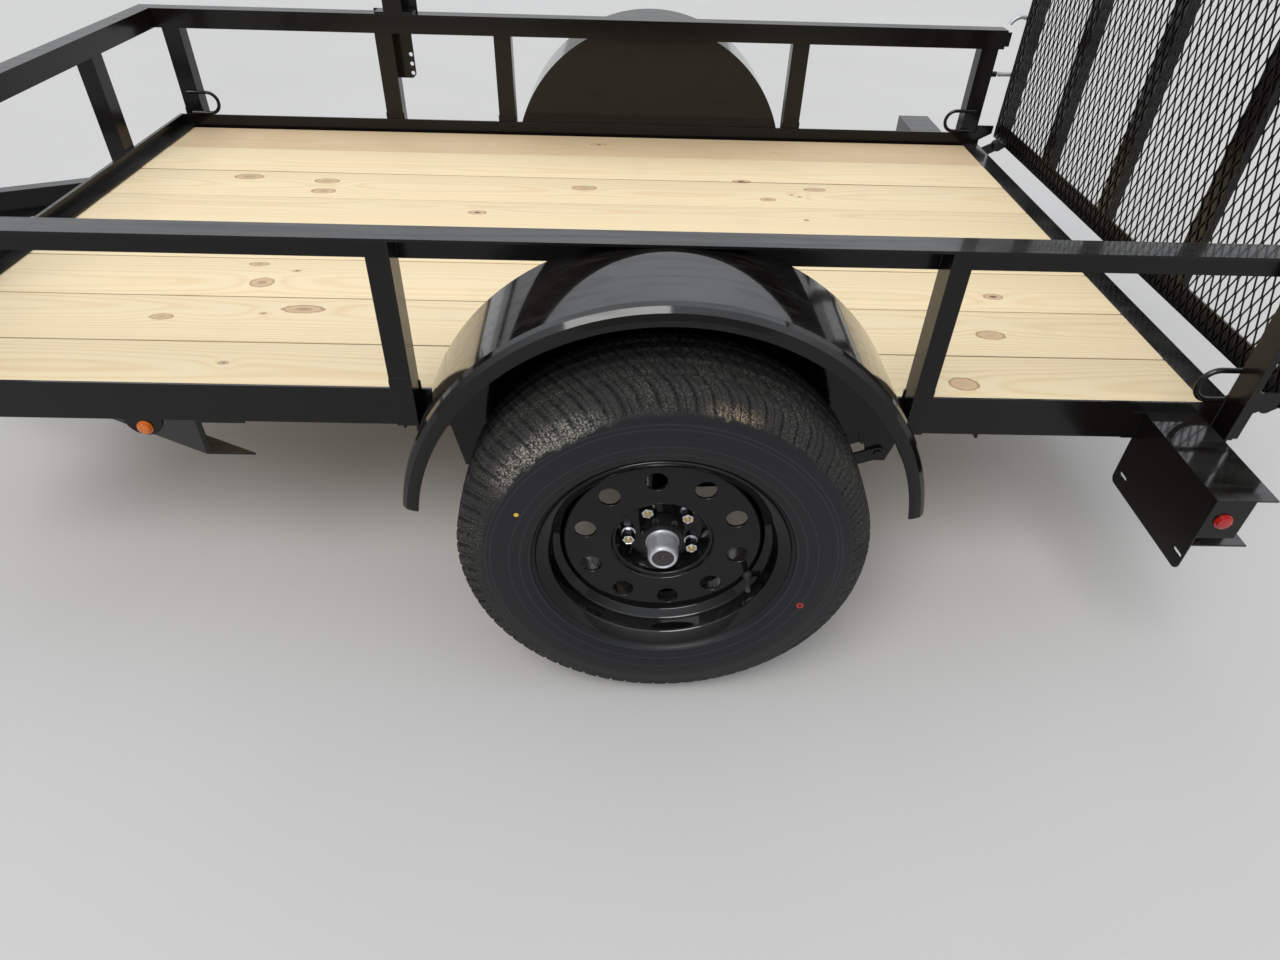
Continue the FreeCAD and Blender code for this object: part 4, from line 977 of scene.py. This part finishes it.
@dataclass
class Deck:
    """Boards of the load deck, each a little different in height and edge.

    uneven spreads the boards' heights by chance, ripple lowers a top in slow waves along it, bow
    draws the sides in, and slack is what a board is narrower by than its solid.
    """

    boards: int = 8
    gap: float = 0.0016
    slack: float = 0.0004
    corner: float = 0.0032
    stations: int = 60
    uneven: float = 0.0006
    ripple: float = 0.0002
    bow: float = 0.0005
    seed: int = 8
    knots: tuple[Knot, ...] = (
        Knot(0.567, 0.665, 0.024, 0.011), Knot(0.539, 0.298, 0.034, 0.017, 0.7),
        Knot(0.981, 0.374, 0.026, 0.012), Knot(1.040, 0.244, 0.022, 0.012, 0.8),
        Knot(1.181, 0.324, 0.030, 0.014, 0.6),
        Knot(1.110, 0.281, 0.007, 0.005), Knot(1.130, 0.268, 0.007, 0.005), Knot(1.123, 0.105, 0.008, 0.006),
        Knot(1.110, 0.627, 0.009, 0.005), Knot(-0.173, -0.217, 0.022, 0.010, 0.8),
        Knot(-0.136, -0.307, 0.026, 0.022, 0.8), Knot(-0.079, -0.247, 0.010, 0.006),
        Knot(-0.284, -0.465, 0.024, 0.012, 0.7), Knot(-0.011, -0.423, 0.044, 0.017, 0.8),
        Knot(-0.086, -0.444, 0.008, 0.005), Knot(-0.096, -0.635, 0.010, 0.007),
        Knot(1.472, -0.303, 0.022, 0.014), Knot(1.409, -0.474, 0.030, 0.018, 0.6),
        Knot(1.296, -0.660, 0.028, 0.022, 0.5), Knot(-0.387, 0.327, 0.040, 0.020, 0.8),
        Knot(-0.168, 0.306, 0.034, 0.018, 0.7), Knot(-0.158, 0.233, 0.032, 0.018, 0.8),
        Knot(0.272, 0.108, 0.024, 0.013), Knot(-0.55, -0.05, 0.030, 0.016, 0.7),
        Knot(0.62, -0.16, 0.024, 0.014, 0.7),
    )

    def build(self) -> None:
        """Make the boards in place of their solids.

        A board is a rounded section carried straight along x. Its sides draw in by the size of a
        slow sine of x, and its top drops by a chance of its own and by the square of another sine.
        """
        low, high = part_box("deck_boards")
        lanes = self._lanes(low.y, high.y)
        pitch = lanes[1][0] - lanes[0][0]
        wood = Pine("pine_boards", pitch, lanes[0][0] - self.gap / 2, self.knots).material()
        skin = Skin()
        chance = np.random.default_rng(self.seed)
        along = np.linspace(low.x, high.x, self.stations)
        for near, far in lanes:
            section = rounded_box(far - near - self.slack, high.z - low.z, self.corner)
            wander = self.bow * np.sin(along * chance.uniform(1.5, 3.0) + chance.uniform(0, TURN))
            sunk = abs(chance.normal(0, self.uneven))
            drop = sunk + self.ripple * np.sin(along * chance.uniform(1, 4)) ** 2
            grid = np.empty((self.stations, len(section), 3))
            grid[..., 0] = along[:, None]
            grid[..., 1] = (near + far) / 2 + section[:, 0] * (1 - 2 * abs(wander[:, None]) / (far - near))
            grid[..., 2] = (low.z + high.z) / 2 + section[:, 1] - drop[:, None] * (section[:, 1] > 0)
            skin.add(grid)
        skin.piece("deck_planks", "chassis", wood, "deck_wood", ["deck_boards"])

    def _lanes(self, low: float, high: float) -> list[tuple[float, float]]:
        """Edges of the boards: equal lanes across the deck, with the solids' gap between them.

        Args:
            low: the deck's left edge.
            high: its right edge.

        Returns:
            The left and right edge of each board.
        """
        width = (high - low - (self.boards - 1) * self.gap) / self.boards
        pitch = width + self.gap
        return [(low + i * pitch, low + i * pitch + width) for i in range(self.boards)]


@dataclass(frozen=True)
class Ridge:
    """A ring that stands proud of a tyre's wall in a bell: its radius, its height and its width."""

    radius: float
    height: float
    width: float


@dataclass
class Tyre:
    """A road tyre: smooth ringed sidewalls, blocks and fine cuts over the shoulder and tread.

    A section's points are a radius from the axle and an offset from the tyre's middle plane, out
    to its own side. fine is the number of points round each block, and groove and cut are depths.
    """

    side: Side
    blocks: int = 76
    slant: float = 20.0
    fine: int = 8
    groove: float = 0.0058
    cut: float = 0.0035
    grooves: tuple[float, ...] = (-0.044, -0.015, 0.015, 0.044)
    groove_half: float = 0.0052
    groove_slope: float = 0.0018
    sway: float = 0.0012
    tread_half: float = 0.066
    tread_edge: float = 0.335
    crown: float = 0.003
    tread_points: int = 45
    lining_points: int = 17
    ridges: tuple[Ridge, ...] = (
        Ridge(0.2165, 0.0016, 0.0022), Ridge(0.231, 0.0007, 0.0012), Ridge(0.2475, 0.0005, 0.0010),
        Ridge(0.290, 0.0008, 0.0013), Ridge(0.2985, 0.0011, 0.0016), Ridge(0.307, 0.0009, 0.0012),
    )

    def build(self) -> None:
        """Make the tyre in place of its solid: its section turned about the axle, less the relief."""
        word = self.side.word
        low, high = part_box(word + "_tyre")
        hub = (low + high) / 2
        radius, offset = self._profile()
        steps = self.blocks * self.fine
        angle = np.arange(steps) * TURN / steps
        depth = self._relief(radius, offset, angle)
        outward = self._outward(radius, offset)
        reach = radius[None, :] - depth * outward[0]
        shift = offset[None, :] - depth * outward[1]
        grid = np.empty((steps, len(radius), 3))
        grid[..., 0] = hub.x + reach * np.cos(angle)[:, None]
        grid[..., 1] = hub.y + self.side.value * shift
        grid[..., 2] = hub.z + reach * np.sin(angle)[:, None]
        skin = Skin().add(grid, loop=True)
        rubber = Rubber(word + "_tyre_rubber", hub, self.side.value, self.blocks, self.slant).material()
        skin.piece(word + "_road_tyre", "wheel_" + word, rubber, "tyre_rubber", [word + "_tyre"])

    def _profile(self) -> tuple[np.ndarray, np.ndarray]:
        """Section of the tyre: outer wall, tread, inner wall and lining.

        The walls, shoulders and lining are smooth curves. The tread's radius is its edge's +
        crown * (1 - (offset / tread_half)^2).

        Returns:
            The radius and the offset of each point.
        """
        wall = smooth_line([(0.1905, 0.072), (0.202, 0.0790), (0.211, 0.0850), (0.222, 0.0935),
                            (0.240, 0.1000), (0.262, 0.1020), (0.284, 0.1005), (0.303, 0.0958),
                            (0.320, 0.0872)], 40)
        shoulder = smooth_line([(0.320, 0.0872), (0.3290, 0.0790), (0.3350, 0.0680)], 8)
        across = np.linspace(self.tread_half, -self.tread_half, self.tread_points)
        tread = np.stack([self.tread_edge + self.crown * (1 - (across / self.tread_half) ** 2), across], 1)
        half = np.concatenate([wall[:-1], shoulder])
        inner = half[::-1] * (1, -1)
        lining = smooth_line([(0.1905, -0.062), (0.232, -0.084), (0.272, -0.086), (0.312, -0.060),
                              (0.322, 0.0), (0.312, 0.060), (0.272, 0.086), (0.232, 0.084),
                              (0.1905, 0.062)], self.lining_points)
        section = np.concatenate([half, tread, inner, lining])
        return section[:, 0], section[:, 1]

    @staticmethod
    def _outward(radius: np.ndarray, offset: np.ndarray) -> np.ndarray:
        """Unit normals of the section, out of the rubber: its slope turned by a quarter.

        Args:
            radius: of each point of the section.
            offset: of each point of the section.

        Returns:
            The normals' parts along the radius and along the offset.
        """
        slope = np.stack([np.gradient(radius), np.gradient(offset)])
        slope /= np.linalg.norm(slope, axis=0) + 1e-12
        return np.stack([-slope[1], slope[0]])

    def _relief(self, radius: np.ndarray, offset: np.ndarray, angle: np.ndarray) -> np.ndarray:
        """How far each point lies under the smooth surface.

        The grooves are dips in the offset that sway in a triangle wave with the blocks.
        Cuts between blocks are dips in the angle, slanted by the offset. Rings stand proud of
        the wall as narrow bells in the radius. A dip's mask is (half width - distance) / slope,
        kept between 0 and 1.

        Args:
            radius: of each point of the section.
            offset: of each point of the section.
            angle: round the wheel.

        Returns:
            The depth, angle by section.
        """
        steps = angle[:, None] * self.blocks / TURN
        saw = 2 * np.abs(2 * (steps % 1) - 1) - 1
        crown = (radius > 0.3335) & (np.abs(offset) < 0.07)
        grooves = np.zeros((len(angle), len(radius)))
        for middle in self.grooves:
            near = np.abs(offset[None, :] - middle - self.sway * saw)
            grooves = np.maximum(grooves, np.clip((self.groove_half - near) / self.groove_slope, 0, 1))
        slant = steps + offset[None, :] * self.slant
        wide = np.clip((0.10 - np.abs(slant % 1 - 0.5)) / 0.05, 0, 1)
        fine = np.clip((0.055 - np.abs((slant * 2 + 0.25) % 1 - 0.5)) / 0.05, 0, 1)
        edge = np.clip((np.abs(offset) - 0.050) / 0.006, 0, 1) * np.clip((radius - 0.302) / 0.010, 0, 1)
        ribs = crown * (0.45 * wide + 0.55 * fine) * self.cut
        ends = edge * np.maximum(wide, 0.5 * fine) * self.cut * 1.3
        depth = np.maximum(grooves * crown * self.groove, np.maximum(ribs, ends))
        rings = sum(ridge.height * np.exp(-((radius - ridge.radius) / ridge.width) ** 2)
                    for ridge in self.ridges)
        outside = np.abs(offset) > 0.05
        inside = np.arange(len(radius)) >= len(radius) - self.lining_points
        return np.where(inside, 0.0, depth - rings * outside * ~inside)


@dataclass
class SteelWheel:
    """Pressed steel wheel: a rolled barrel, and a dished disc with a ring of round vents.

    Both profiles hold radius and distance outward from the wheel's middle plane, in
    millimetres, with the radius of each corner. The flat ring between them is made in equal
    sectors, one for each vent.
    """

    side: Side
    finish: Finishes
    vents: int = 10
    vent_circle: float = 0.131
    vent_radius: float = 0.0176
    vent_angle: float = 96.4
    vent_edge: float = 0.0012
    ring: tuple[float, float] = (0.100, 0.158)
    front: float = 0.039
    back: float = 0.034
    arc_points: int = 16
    side_points: int = 5
    centre: tuple[tuple[float, float, float], ...] = (
        (100, 39, 0), (86, 40.6, 4), (72, 5, 6), (37, 5, 1),
        (37, 0, 0.4), (66, 0, 6), (79.5, 35, 5), (100, 34, 0),
    )
    barrel: tuple[tuple[float, float, float], ...] = (
        (158, 39, 0), (165, 39, 4), (168, 5.5, 0), (169.2, 35, 4), (183.5, 45, 6),
        (186, 73, 6), (205, 86, 2.2), (208, 83.4, 0.8), (203.5, 80.2, 1.5), (190.5, 73, 3),
        (189, 47, 4), (173.5, 36, 4), (172.8, -24, 6), (188.5, -36, 6), (190.5, -73, 3),
        (203.5, -80.2, 1.5), (208, -83.4, 0.8), (205, -86, 2.2), (186, -74, 6), (184.5, -40, 6),
        (168.8, -28, 6), (168.5, -2.5, 1), (164.5, -2.5, 1), (160.5, 34, 1.5), (158, 34, 0),
    )

    def build(self) -> None:
        """Make the steel in place of its solid: two turned profiles, with the ring of vents between."""
        word = self.side.word
        low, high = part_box(word + "_rim")
        middle = (low + high) / 2
        steps = self.vents * self.arc_points
        first = math.radians(self.vent_angle) - math.pi / self.vents
        round_angle = first + np.arange(steps) * TURN / steps
        skin = Skin()
        for corners in (self.centre, self.barrel):
            line = eased_line([[MM * part for part in corner] for corner in corners])
            skin.add(self._set(middle, line[:, :1], line[:, 1:], round_angle[None]), caps=False)
        for k in range(self.vents):
            skin.add(self._sector(middle, math.radians(self.vent_angle) + k * TURN / self.vents), caps=False)
        skin.piece(word + "_steel_wheel", "wheel_" + word, self.finish.wheel, "wheel_paint", [word + "_rim"],
                   sharp=50.0, weld=True)

    def _set(self, middle: Vector, radius: np.ndarray, offset: np.ndarray, angle: np.ndarray) -> np.ndarray:
        """Points from radius, outward offset and angle: middle + (r cos a, way * offset, r sin a)."""
        x, y, z = np.broadcast_arrays(middle.x + radius * np.cos(angle), middle.y + self.side.value * offset,
                                      middle.z + radius * np.sin(angle))
        return np.stack([x, y, z], -1)

    def _sector(self, middle: Vector, angle: float) -> np.ndarray:
        """One sector of the flat ring, with its vent.

        The border runs round the sector. Each of its points has a partner on the vent's
        circle, in the same direction from the vent's middle, and the rows lie between them
        by a share t: (1 - t) * border + t * partner.

        Args:
            middle: the wheel's middle.
            angle: of the vent's middle.

        Returns:
            A grid from the front border through the vent to the back border.
        """
        half = math.pi / self.vents
        arc = np.linspace(-half, half, self.arc_points + 1)[:-1]
        reach = np.linspace(*self.ring, self.side_points + 1)[:-1]
        inner, outer = np.full(self.arc_points, self.ring[0]), np.full(self.arc_points, self.ring[1])
        radius = np.concatenate([inner, reach, outer, sum(self.ring) - reach])
        turn = np.concatenate([arc, np.full(self.side_points, half), -arc, np.full(self.side_points, -half)])
        border = np.stack([radius * np.cos(turn) - self.vent_circle, radius * np.sin(turn)], 1)
        toward = border / np.linalg.norm(border, axis=1)[:, None]
        edge, front, back = self.vent_edge, self.front, self.back
        rows = [(0.0, 0.0, front), (0.45, 0.0, front), (0.85, 0.0, front), (1.0, edge, front),
                (1.0, 0.3 * edge, front - 0.3 * edge), (1.0, 0.0, front - edge), (1.0, 0.0, back),
                (0.45, 0.0, back), (0.0, 0.0, back)]
        share, grow, offset = (np.array(part)[:, None] for part in zip(*rows))
        partner = (share * (self.vent_radius + grow))[..., None] * toward
        flat = (1 - share)[..., None] * border + partner
        along, over = flat[..., 0] + self.vent_circle, flat[..., 1]
        return self._set(middle, np.hypot(along, over), offset, angle + np.arctan2(over, along))


@dataclass
class Wheel:
    """Nuts, studs, cap, plug and valve of one wheel, and the finish of its hub.

    A place on the wheel is given from its middle: along the trailer, outward and up. first is the
    first stud's angle in degrees, and spin is how far each nut is turned past the one before. nut
    is half a nut's width across its flats, seat is how far out the nuts sit, and collar and cup
    are radii of the cap.
    """

    side: Side
    finish: Finishes
    studs: int = 5
    stud_circle: float = 0.05715
    first: float = 45.0
    spin: float = 0.3
    nut: float = 0.0095
    seat: float = 0.005
    collar: float = 0.028
    cup: float = 0.0250
    washer: tuple[tuple[float, float], ...] = ((0.0125, -0.0012), (0.0118, 0.0016), (0.0095, 0.0024))
    valve: tuple[float, float, float] = (0.1500, 0.0395, -0.0765)
    valve_lean: float = 0.10

    def build(self) -> None:
        """Make the small pieces and dress the hub."""
        word, way = self.side.word, self.side.value
        body = "wheel_" + word
        low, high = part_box(word + "_rim")
        middle = (np.array(low) + np.array(high)) / 2
        axis = (0, way, 0)
        dress([word + "_hub"], self.finish.steel)
        nuts, studs = Skin(), Skin()
        for i in range(self.studs):
            angle = math.radians(self.first + i * 360 / self.studs)
            along, up = self.stud_circle * math.cos(angle), self.stud_circle * math.sin(angle)
            start = middle + (along, way * self.seat, up)
            nuts.add(turned(self._nut(), start, axis, 36, True, self.spin * i))
            nuts.add(turned(self.washer, start, axis, 24))
            studs.add(turned(self._stud(), start, axis, 24))
        nuts.piece(word + "_wheel_nuts", body, self.finish.chrome, "chrome_nut", [word + "_lug_nuts"])
        studs.piece(word + "_stud_tips", body, self.finish.brass)
        self._cap(middle)
        self._valve(middle)

    def _nut(self) -> list[tuple[float, float]]:
        """Profile of a tapered-seat nut with chamfered ends."""
        r = self.nut
        return [(0.0068, 0.0), (r * 0.80, 0.001), (r * 0.98, 0.0045), (r, 0.006), (r, 0.0190),
                (r * 0.93, 0.0212), (0.0078, 0.0216), (0.0070, 0.0206)]

    @staticmethod
    def _stud() -> list[tuple[float, float]]:
        """Profile of a threaded stud end, its thread as a fine saw of the radius.

        Returns:
            Pairs of radius and distance along the stud.
        """
        rise = np.linspace(0.001, 0.0218, 42)
        thread = 0.0056 - 0.00040 * np.abs((rise / 0.0015) % 1 * 2 - 1)
        return [*zip(thread, rise), (0.0048, 0.0230), (0.0028, 0.0235)]

    def _cap(self, middle: np.ndarray) -> None:
        """Pressed cap with a rolled collar, and the soft plug in its end, both turned profiles.

        Args:
            middle: the wheel's middle.
        """
        word, way = self.side.word, self.side.value
        body = "wheel_" + word
        low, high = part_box(word + "_dust_cap")
        reach = high.y - low.y
        start = (middle[0], low.y if way > 0 else high.y, middle[2])
        wide, tip = self.collar, self.cup
        profile = [(tip - 0.004, 0.0006), (wide, 0.0), (wide, 0.0020), (wide - 0.0012, 0.0035),
                   (tip + 0.001, 0.0060), (tip, 0.0085), (tip, reach - 0.0085),
                   (tip - 0.0008, reach - 0.0040), (tip - 0.0030, reach - 0.0008), (tip - 0.0052, reach),
                   (tip - 0.0068, reach - 0.0012), (tip - 0.0074, reach - 0.0040)]
        skin = Skin().add(turned(profile, start, (0, way, 0), 64))
        skin.piece(word + "_hub_cap", body, self.finish.zinc, "zinc", [word + "_dust_cap"])
        r = tip - 0.0070
        plug = [(r, reach - 0.0060), (r + 0.0006, reach - 0.0030), (r - 0.0010, reach - 0.0018),
                (r * 0.55, reach - 0.0030), (r * 0.30, reach - 0.0034), (r * 0.22, reach - 0.0016),
                (r * 0.08, reach - 0.0012)]
        Skin().add(turned(plug, start, (0, way, 0), 48)).piece(word + "_cap_plug", body, self.finish.plug)

    def _valve(self, middle: np.ndarray) -> None:
        """Rubber valve stem with a black cap, turned about an axis that leans to the wheel's middle.

        Args:
            middle: the wheel's middle.
        """
        word, way = self.side.word, self.side.value
        along, outward, up = self.valve
        place = middle + np.array((along, way * outward, up))
        out = np.array((0.0, way, 0.0))
        lean = out + self.valve_lean * (middle - place) / np.linalg.norm(middle - place)
        profile = [(0.0082, -0.006), (0.0082, 0.0), (0.0062, 0.004), (0.0048, 0.010), (0.0044, 0.024),
                   (0.0050, 0.0245), (0.0050, 0.036), (0.0042, 0.0372), (0.0020, 0.0376)]
        skin = Skin().add(turned(profile, place, lean, 24))
        skin.piece(word + "_valve_stem", "wheel_" + word, self.finish.plug)


@dataclass
class Gate:
    """Expanded metal of the ramp gate, in strands that meet in long diamonds.

    wide and tall are a diamond's sizes, strand and thick a strand's, and bond is the share of half
    a diamond's height over which two strands run side by side.
    """

    finish: Finishes
    wide: float = 0.026
    tall: float = 0.0520
    strand: float = 0.0030
    thick: float = 0.0026
    corner: float = 0.0004
    bond: float = 0.13
    lift: float = 0.00055

    def build(self) -> None:
        """Weave the mesh and dress the frame.

        A strand runs up the gate and sways from bond to bond, by half a pitch less half its width
        across the gate and by lift out of it, each strand the other way from its neighbours.
        """
        low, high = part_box("gate_mesh")
        count = round((high.y - low.y) / (self.wide / 2))
        pitch = (high.y - low.y) / count
        halves = round((high.z - low.z) / (self.tall / 2))
        half = (high.z - low.z) / halves
        knots = np.arange(halves + 1)
        bonds = np.sort(np.concatenate([knots - self.bond / 2, knots + self.bond / 2]))
        rise = bonds[1:-1] * half + low.z
        steps = (rise - low.z) / half
        sway = np.where(np.round(steps) % 2 == 0, 1.0, -1.0)
        skin = Skin()
        section = rounded_box(self.strand, self.thick, self.corner, 1)
        deep = (low.x + high.x) / 2
        near, far = low.y + self.strand / 2, high.y - self.strand / 2
        for i in range(count + 1):
            way = 1 if i % 2 else -1
            across = low.y + i * pitch + way * sway * (pitch / 2 - self.strand / 2)
            line = np.stack([deep + self.lift * way * sway, np.clip(across, near, far), rise], 1)
            skin.add(carried(section, line, (1, 0, 0)))
        skin.piece("gate_expanded_metal", "ramp_gate", self.finish.mesh, "body_paint", ["gate_mesh"])
        dress(["gate_frame", "gate_hinges"], self.finish.steel)
        dress(["gate_latches"], self.finish.zinc)


@dataclass
class Welds:
    """Painted weld beads where the steel is joined.

    A post's upright beads stop short of the frame's and the top rail's edges by their insets, at
    the foot and at the head. proud and ledge are how far a bead's middle lies outside the frame
    rail, and crown_proud outside the top rail. crown_span is a bead's reach forward and back.
    """

    finish: Finishes
    ripple: float = 0.0042
    swell: float = 0.20
    taper: float = 0.003
    post_radius: float = 0.0026
    ledge_radius: float = 0.0010
    crown_radius: float = 0.0042
    frame_inset: tuple[float, float] = (0.006, 0.004)
    rail_inset: tuple[float, float] = (0.003, 0.008)
    crown_span: tuple[float, float] = (0.024, 0.022)
    crown_rise: float = 0.0005
    proud: float = 0.0005
    ledge: float = 0.004
    crown_proud: float = 0.0010

    def bead(self, skin: Skin, start: Place, end: Place, over: Place, radius: float) -> None:
        """Lay one bead: a round section whose radius swells once for each ripple and tapers at the ends.

        Args:
            skin: what it is added to.
            start: one end.
            end: the other end.
            over: a direction square to it, out of the corner.
            radius: of the bead.
        """
        a, b = np.asarray(start, float), np.asarray(end, float)
        length = np.linalg.norm(b - a)
        count = max(6, int(length / self.ripple) * 5)
        t = np.linspace(0, 1, count)
        swell = 1 + self.swell * np.abs(np.sin(math.pi * t * length / self.ripple)) - self.swell / 2
        taper = np.clip(np.minimum(t, 1 - t) * length / self.taper, 0.25, 1) ** 0.5
        section = round_section(radius, 8)
        path = a + (b - a) * t[:, None]
        grid = carried(section, path, over)
        grid = path[:, None] + (grid - path[:, None]) * (swell * taper)[:, None, None]
        skin.add(grid)

    def build(self) -> None:
        """Lay the beads of the chassis: at the posts, and where each fender's crown meets its rail."""
        skin = Skin()
        frame_low, frame_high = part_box("right_frame_rail")
        rail_low, rail_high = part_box("right_top_rail")
        heights = ((frame_low.z + self.frame_inset[0], frame_high.z - self.frame_inset[1]),
                   (rail_low.z + self.rail_inset[0], rail_high.z - self.rail_inset[1]))
        for side in Side:
            way = side.value
            out = (0, way, 0)
            face, ledge = way * (frame_high.y + self.proud), way * (frame_high.y + self.ledge)
            for near, far in spans(side.word + "_posts", 0):
                for x in (near, far):
                    for foot, head in heights:
                        self.bead(skin, (x, face, foot), (x, face, head), out, self.post_radius)
                ends = (near, ledge, frame_high.z), (far, ledge, frame_high.z)
                self.bead(skin, *ends, (0, 0, 1), self.ledge_radius)
            low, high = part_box(side.word + "_fender")
            x = (low.x + high.x) / 2
            y, z = way * (rail_high.y + self.crown_proud), rail_low.z + self.crown_rise
            ends = (x - self.crown_span[0], y, z), (x + self.crown_span[1], y, z)
            self.bead(skin, *ends, out, self.crown_radius)
        skin.piece("frame_weld_beads", "chassis", self.finish.steel, "body_paint")


@dataclass
class Chassis:
    """Finishes of the frame, the fenders, the running gear and the lamps."""

    finish: Finishes

    def build(self) -> None:
        """Dress the nodes that keep their shape."""
        pairs = ("frame_rail", "top_rail", "posts", "leaf_spring", "spring_shackle", "tongue_leg")
        dress([side.word + "_" + name for side in Side for name in pairs], self.finish.steel)
        dress([side.word + "_" + name for side in Side for name in ("fender", "lamp_box")], self.finish.sheet)
        dress([side.word + "_spring_clamp" for side in Side], self.finish.zinc)
        dress(["front_frame_rail", "rear_frame_rail", "crossmembers", "board_retainer", "front_top_rail",
               "front_posts", "axle", "spring_hangers", "coupler", "jack_mount", "marker_brackets",
               "tie_down_loops", "spare_carrier", "hinge_lugs", "latch_pegs"], self.finish.steel)
        dress(["jack_tube", "jack_leg"], self.finish.zinc)
        dress(["jack_crank"], self.finish.grip)
        dress(["tail_lamps", "rear_side_markers"], self.finish.red)
        dress(["front_side_markers"], self.finish.amber)


@dataclass
class Studio:
    """Pale floor, soft light and the camera.

    The sky is low_sky at the horizon and sky from sky_height up, as the height of a direction of
    length 1. spread and tilt, in degrees, are the lamp's. place, yaw, pitch, roll, lens and shift
    are the camera's, with its angles in radians.
    """

    floor: Colour = (0.56, 0.55, 0.54)
    floor_reach: float = 30.0
    floor_drop: float = 0.0005
    sky: Colour = (0.88, 0.92, 0.97)
    low_sky: Colour = (0.34, 0.34, 0.34)
    sky_height: float = 0.65
    lamp: Colour = (1.0, 0.98, 0.95)
    strength: float = 1.45
    spread: float = 35.0
    tilt: tuple[float, float] = (32.0, -18.0)
    place: Place = (0.6543, -1.9697, 1.2968)
    yaw: float = -0.02284
    pitch: float = -0.69109
    roll: float = -0.03135
    lens: float = 23.2506
    sensor: float = 36.0
    shift: tuple[float, float] = (0.0032, -0.0014)

    def build(self) -> None:
        """Set the stage."""
        self._floor()
        self._light()
        self._camera()
        bpy.context.scene.view_settings.view_transform = "Standard"

    def _floor(self) -> None:
        """Lay a wide flat floor just under the tyres."""
        reach = self.floor_reach
        mesh = bpy.data.meshes.new("floor")
        corners = [(-reach, -reach, 0), (reach, -reach, 0), (reach, reach, 0), (-reach, reach, 0)]
        mesh.from_pydata(corners, [], [(0, 1, 2, 3)])
        graph = Graph.named("pale_floor")
        cloud = graph.noise(graph.place(), 0.8, 4.0)
        base = graph.mix(cloud.rise(0.3, 0.7), self.floor, tuple(0.96 * c for c in self.floor))
        mesh.materials.append(graph.shade({"Base Color": base}, {"Roughness": 0.9}))
        floor = bpy.data.objects.new("floor", mesh)
        floor.location.z = -self.floor_drop
        bpy.context.scene.collection.objects.link(floor)

    def _light(self) -> None:
        """Sky that is soft and bright above and dimmer low down, and one broad lamp."""
        world = bpy.data.worlds.new("sky")
        bpy.context.scene.world = world
        graph = Graph(world)
        height = graph.node("ShaderNodeTexCoord").parts()[2]
        colour = graph.mix(height.rise(0.0, self.sky_height), self.low_sky, self.sky)
        sky = graph.node("ShaderNodeBackground", {}, {"Color": colour, "Strength": 1.0})
        graph.finish(sky, "ShaderNodeOutputWorld")
        lamp = bpy.data.lights.new("broad_sun", "SUN")
        lamp.energy = self.strength
        lamp.angle = math.radians(self.spread)
        lamp.color = self.lamp
        sun = bpy.data.objects.new("broad_sun", lamp)
        sun.rotation_euler = (math.radians(self.tilt[0]), math.radians(self.tilt[1]), 0)
        bpy.context.scene.collection.objects.link(sun)

    def _camera(self) -> None:
        """Stand the camera where the photograph was taken from."""
        c, s = math.cos(self.yaw), math.sin(self.yaw)
        turn = np.array(((c, -s, 0), (s, c, 0), (0, 0, 1)))
        c, s = math.cos(self.pitch), math.sin(self.pitch)
        nod = np.array(((1, 0, 0), (0, c, -s), (0, s, c)))
        c, s = math.cos(self.roll), math.sin(self.roll)
        lean = np.array(((c, 0, s), (0, 1, 0), (-s, 0, c)))
        right, forward, up = (turn @ nod @ lean).T
        data = bpy.data.cameras.new("camera")
        data.lens = self.lens
        data.sensor_width = self.sensor
        data.shift_x, data.shift_y = self.shift
        camera = bpy.data.objects.new("camera", data)
        facing = Matrix((right, up, -forward)).transposed().to_4x4()
        camera.matrix_world = Matrix.Translation(self.place) @ facing
        bpy.context.scene.collection.objects.link(camera)
        bpy.context.scene.camera = camera


def main() -> None:
    """Build the trailer and its stage."""
    logging.basicConfig(level=logging.INFO, format="%(name)s %(message)s")
    finish = Finishes.make()
    Chassis(finish).build()
    Deck().build()
    for side in Side:
        Tyre(side).build()
        SteelWheel(side, finish).build()
        Wheel(side, finish).build()
    Gate(finish).build()
    Welds(finish).build()
    Studio().build()


if __name__ == "__main__":
    main()
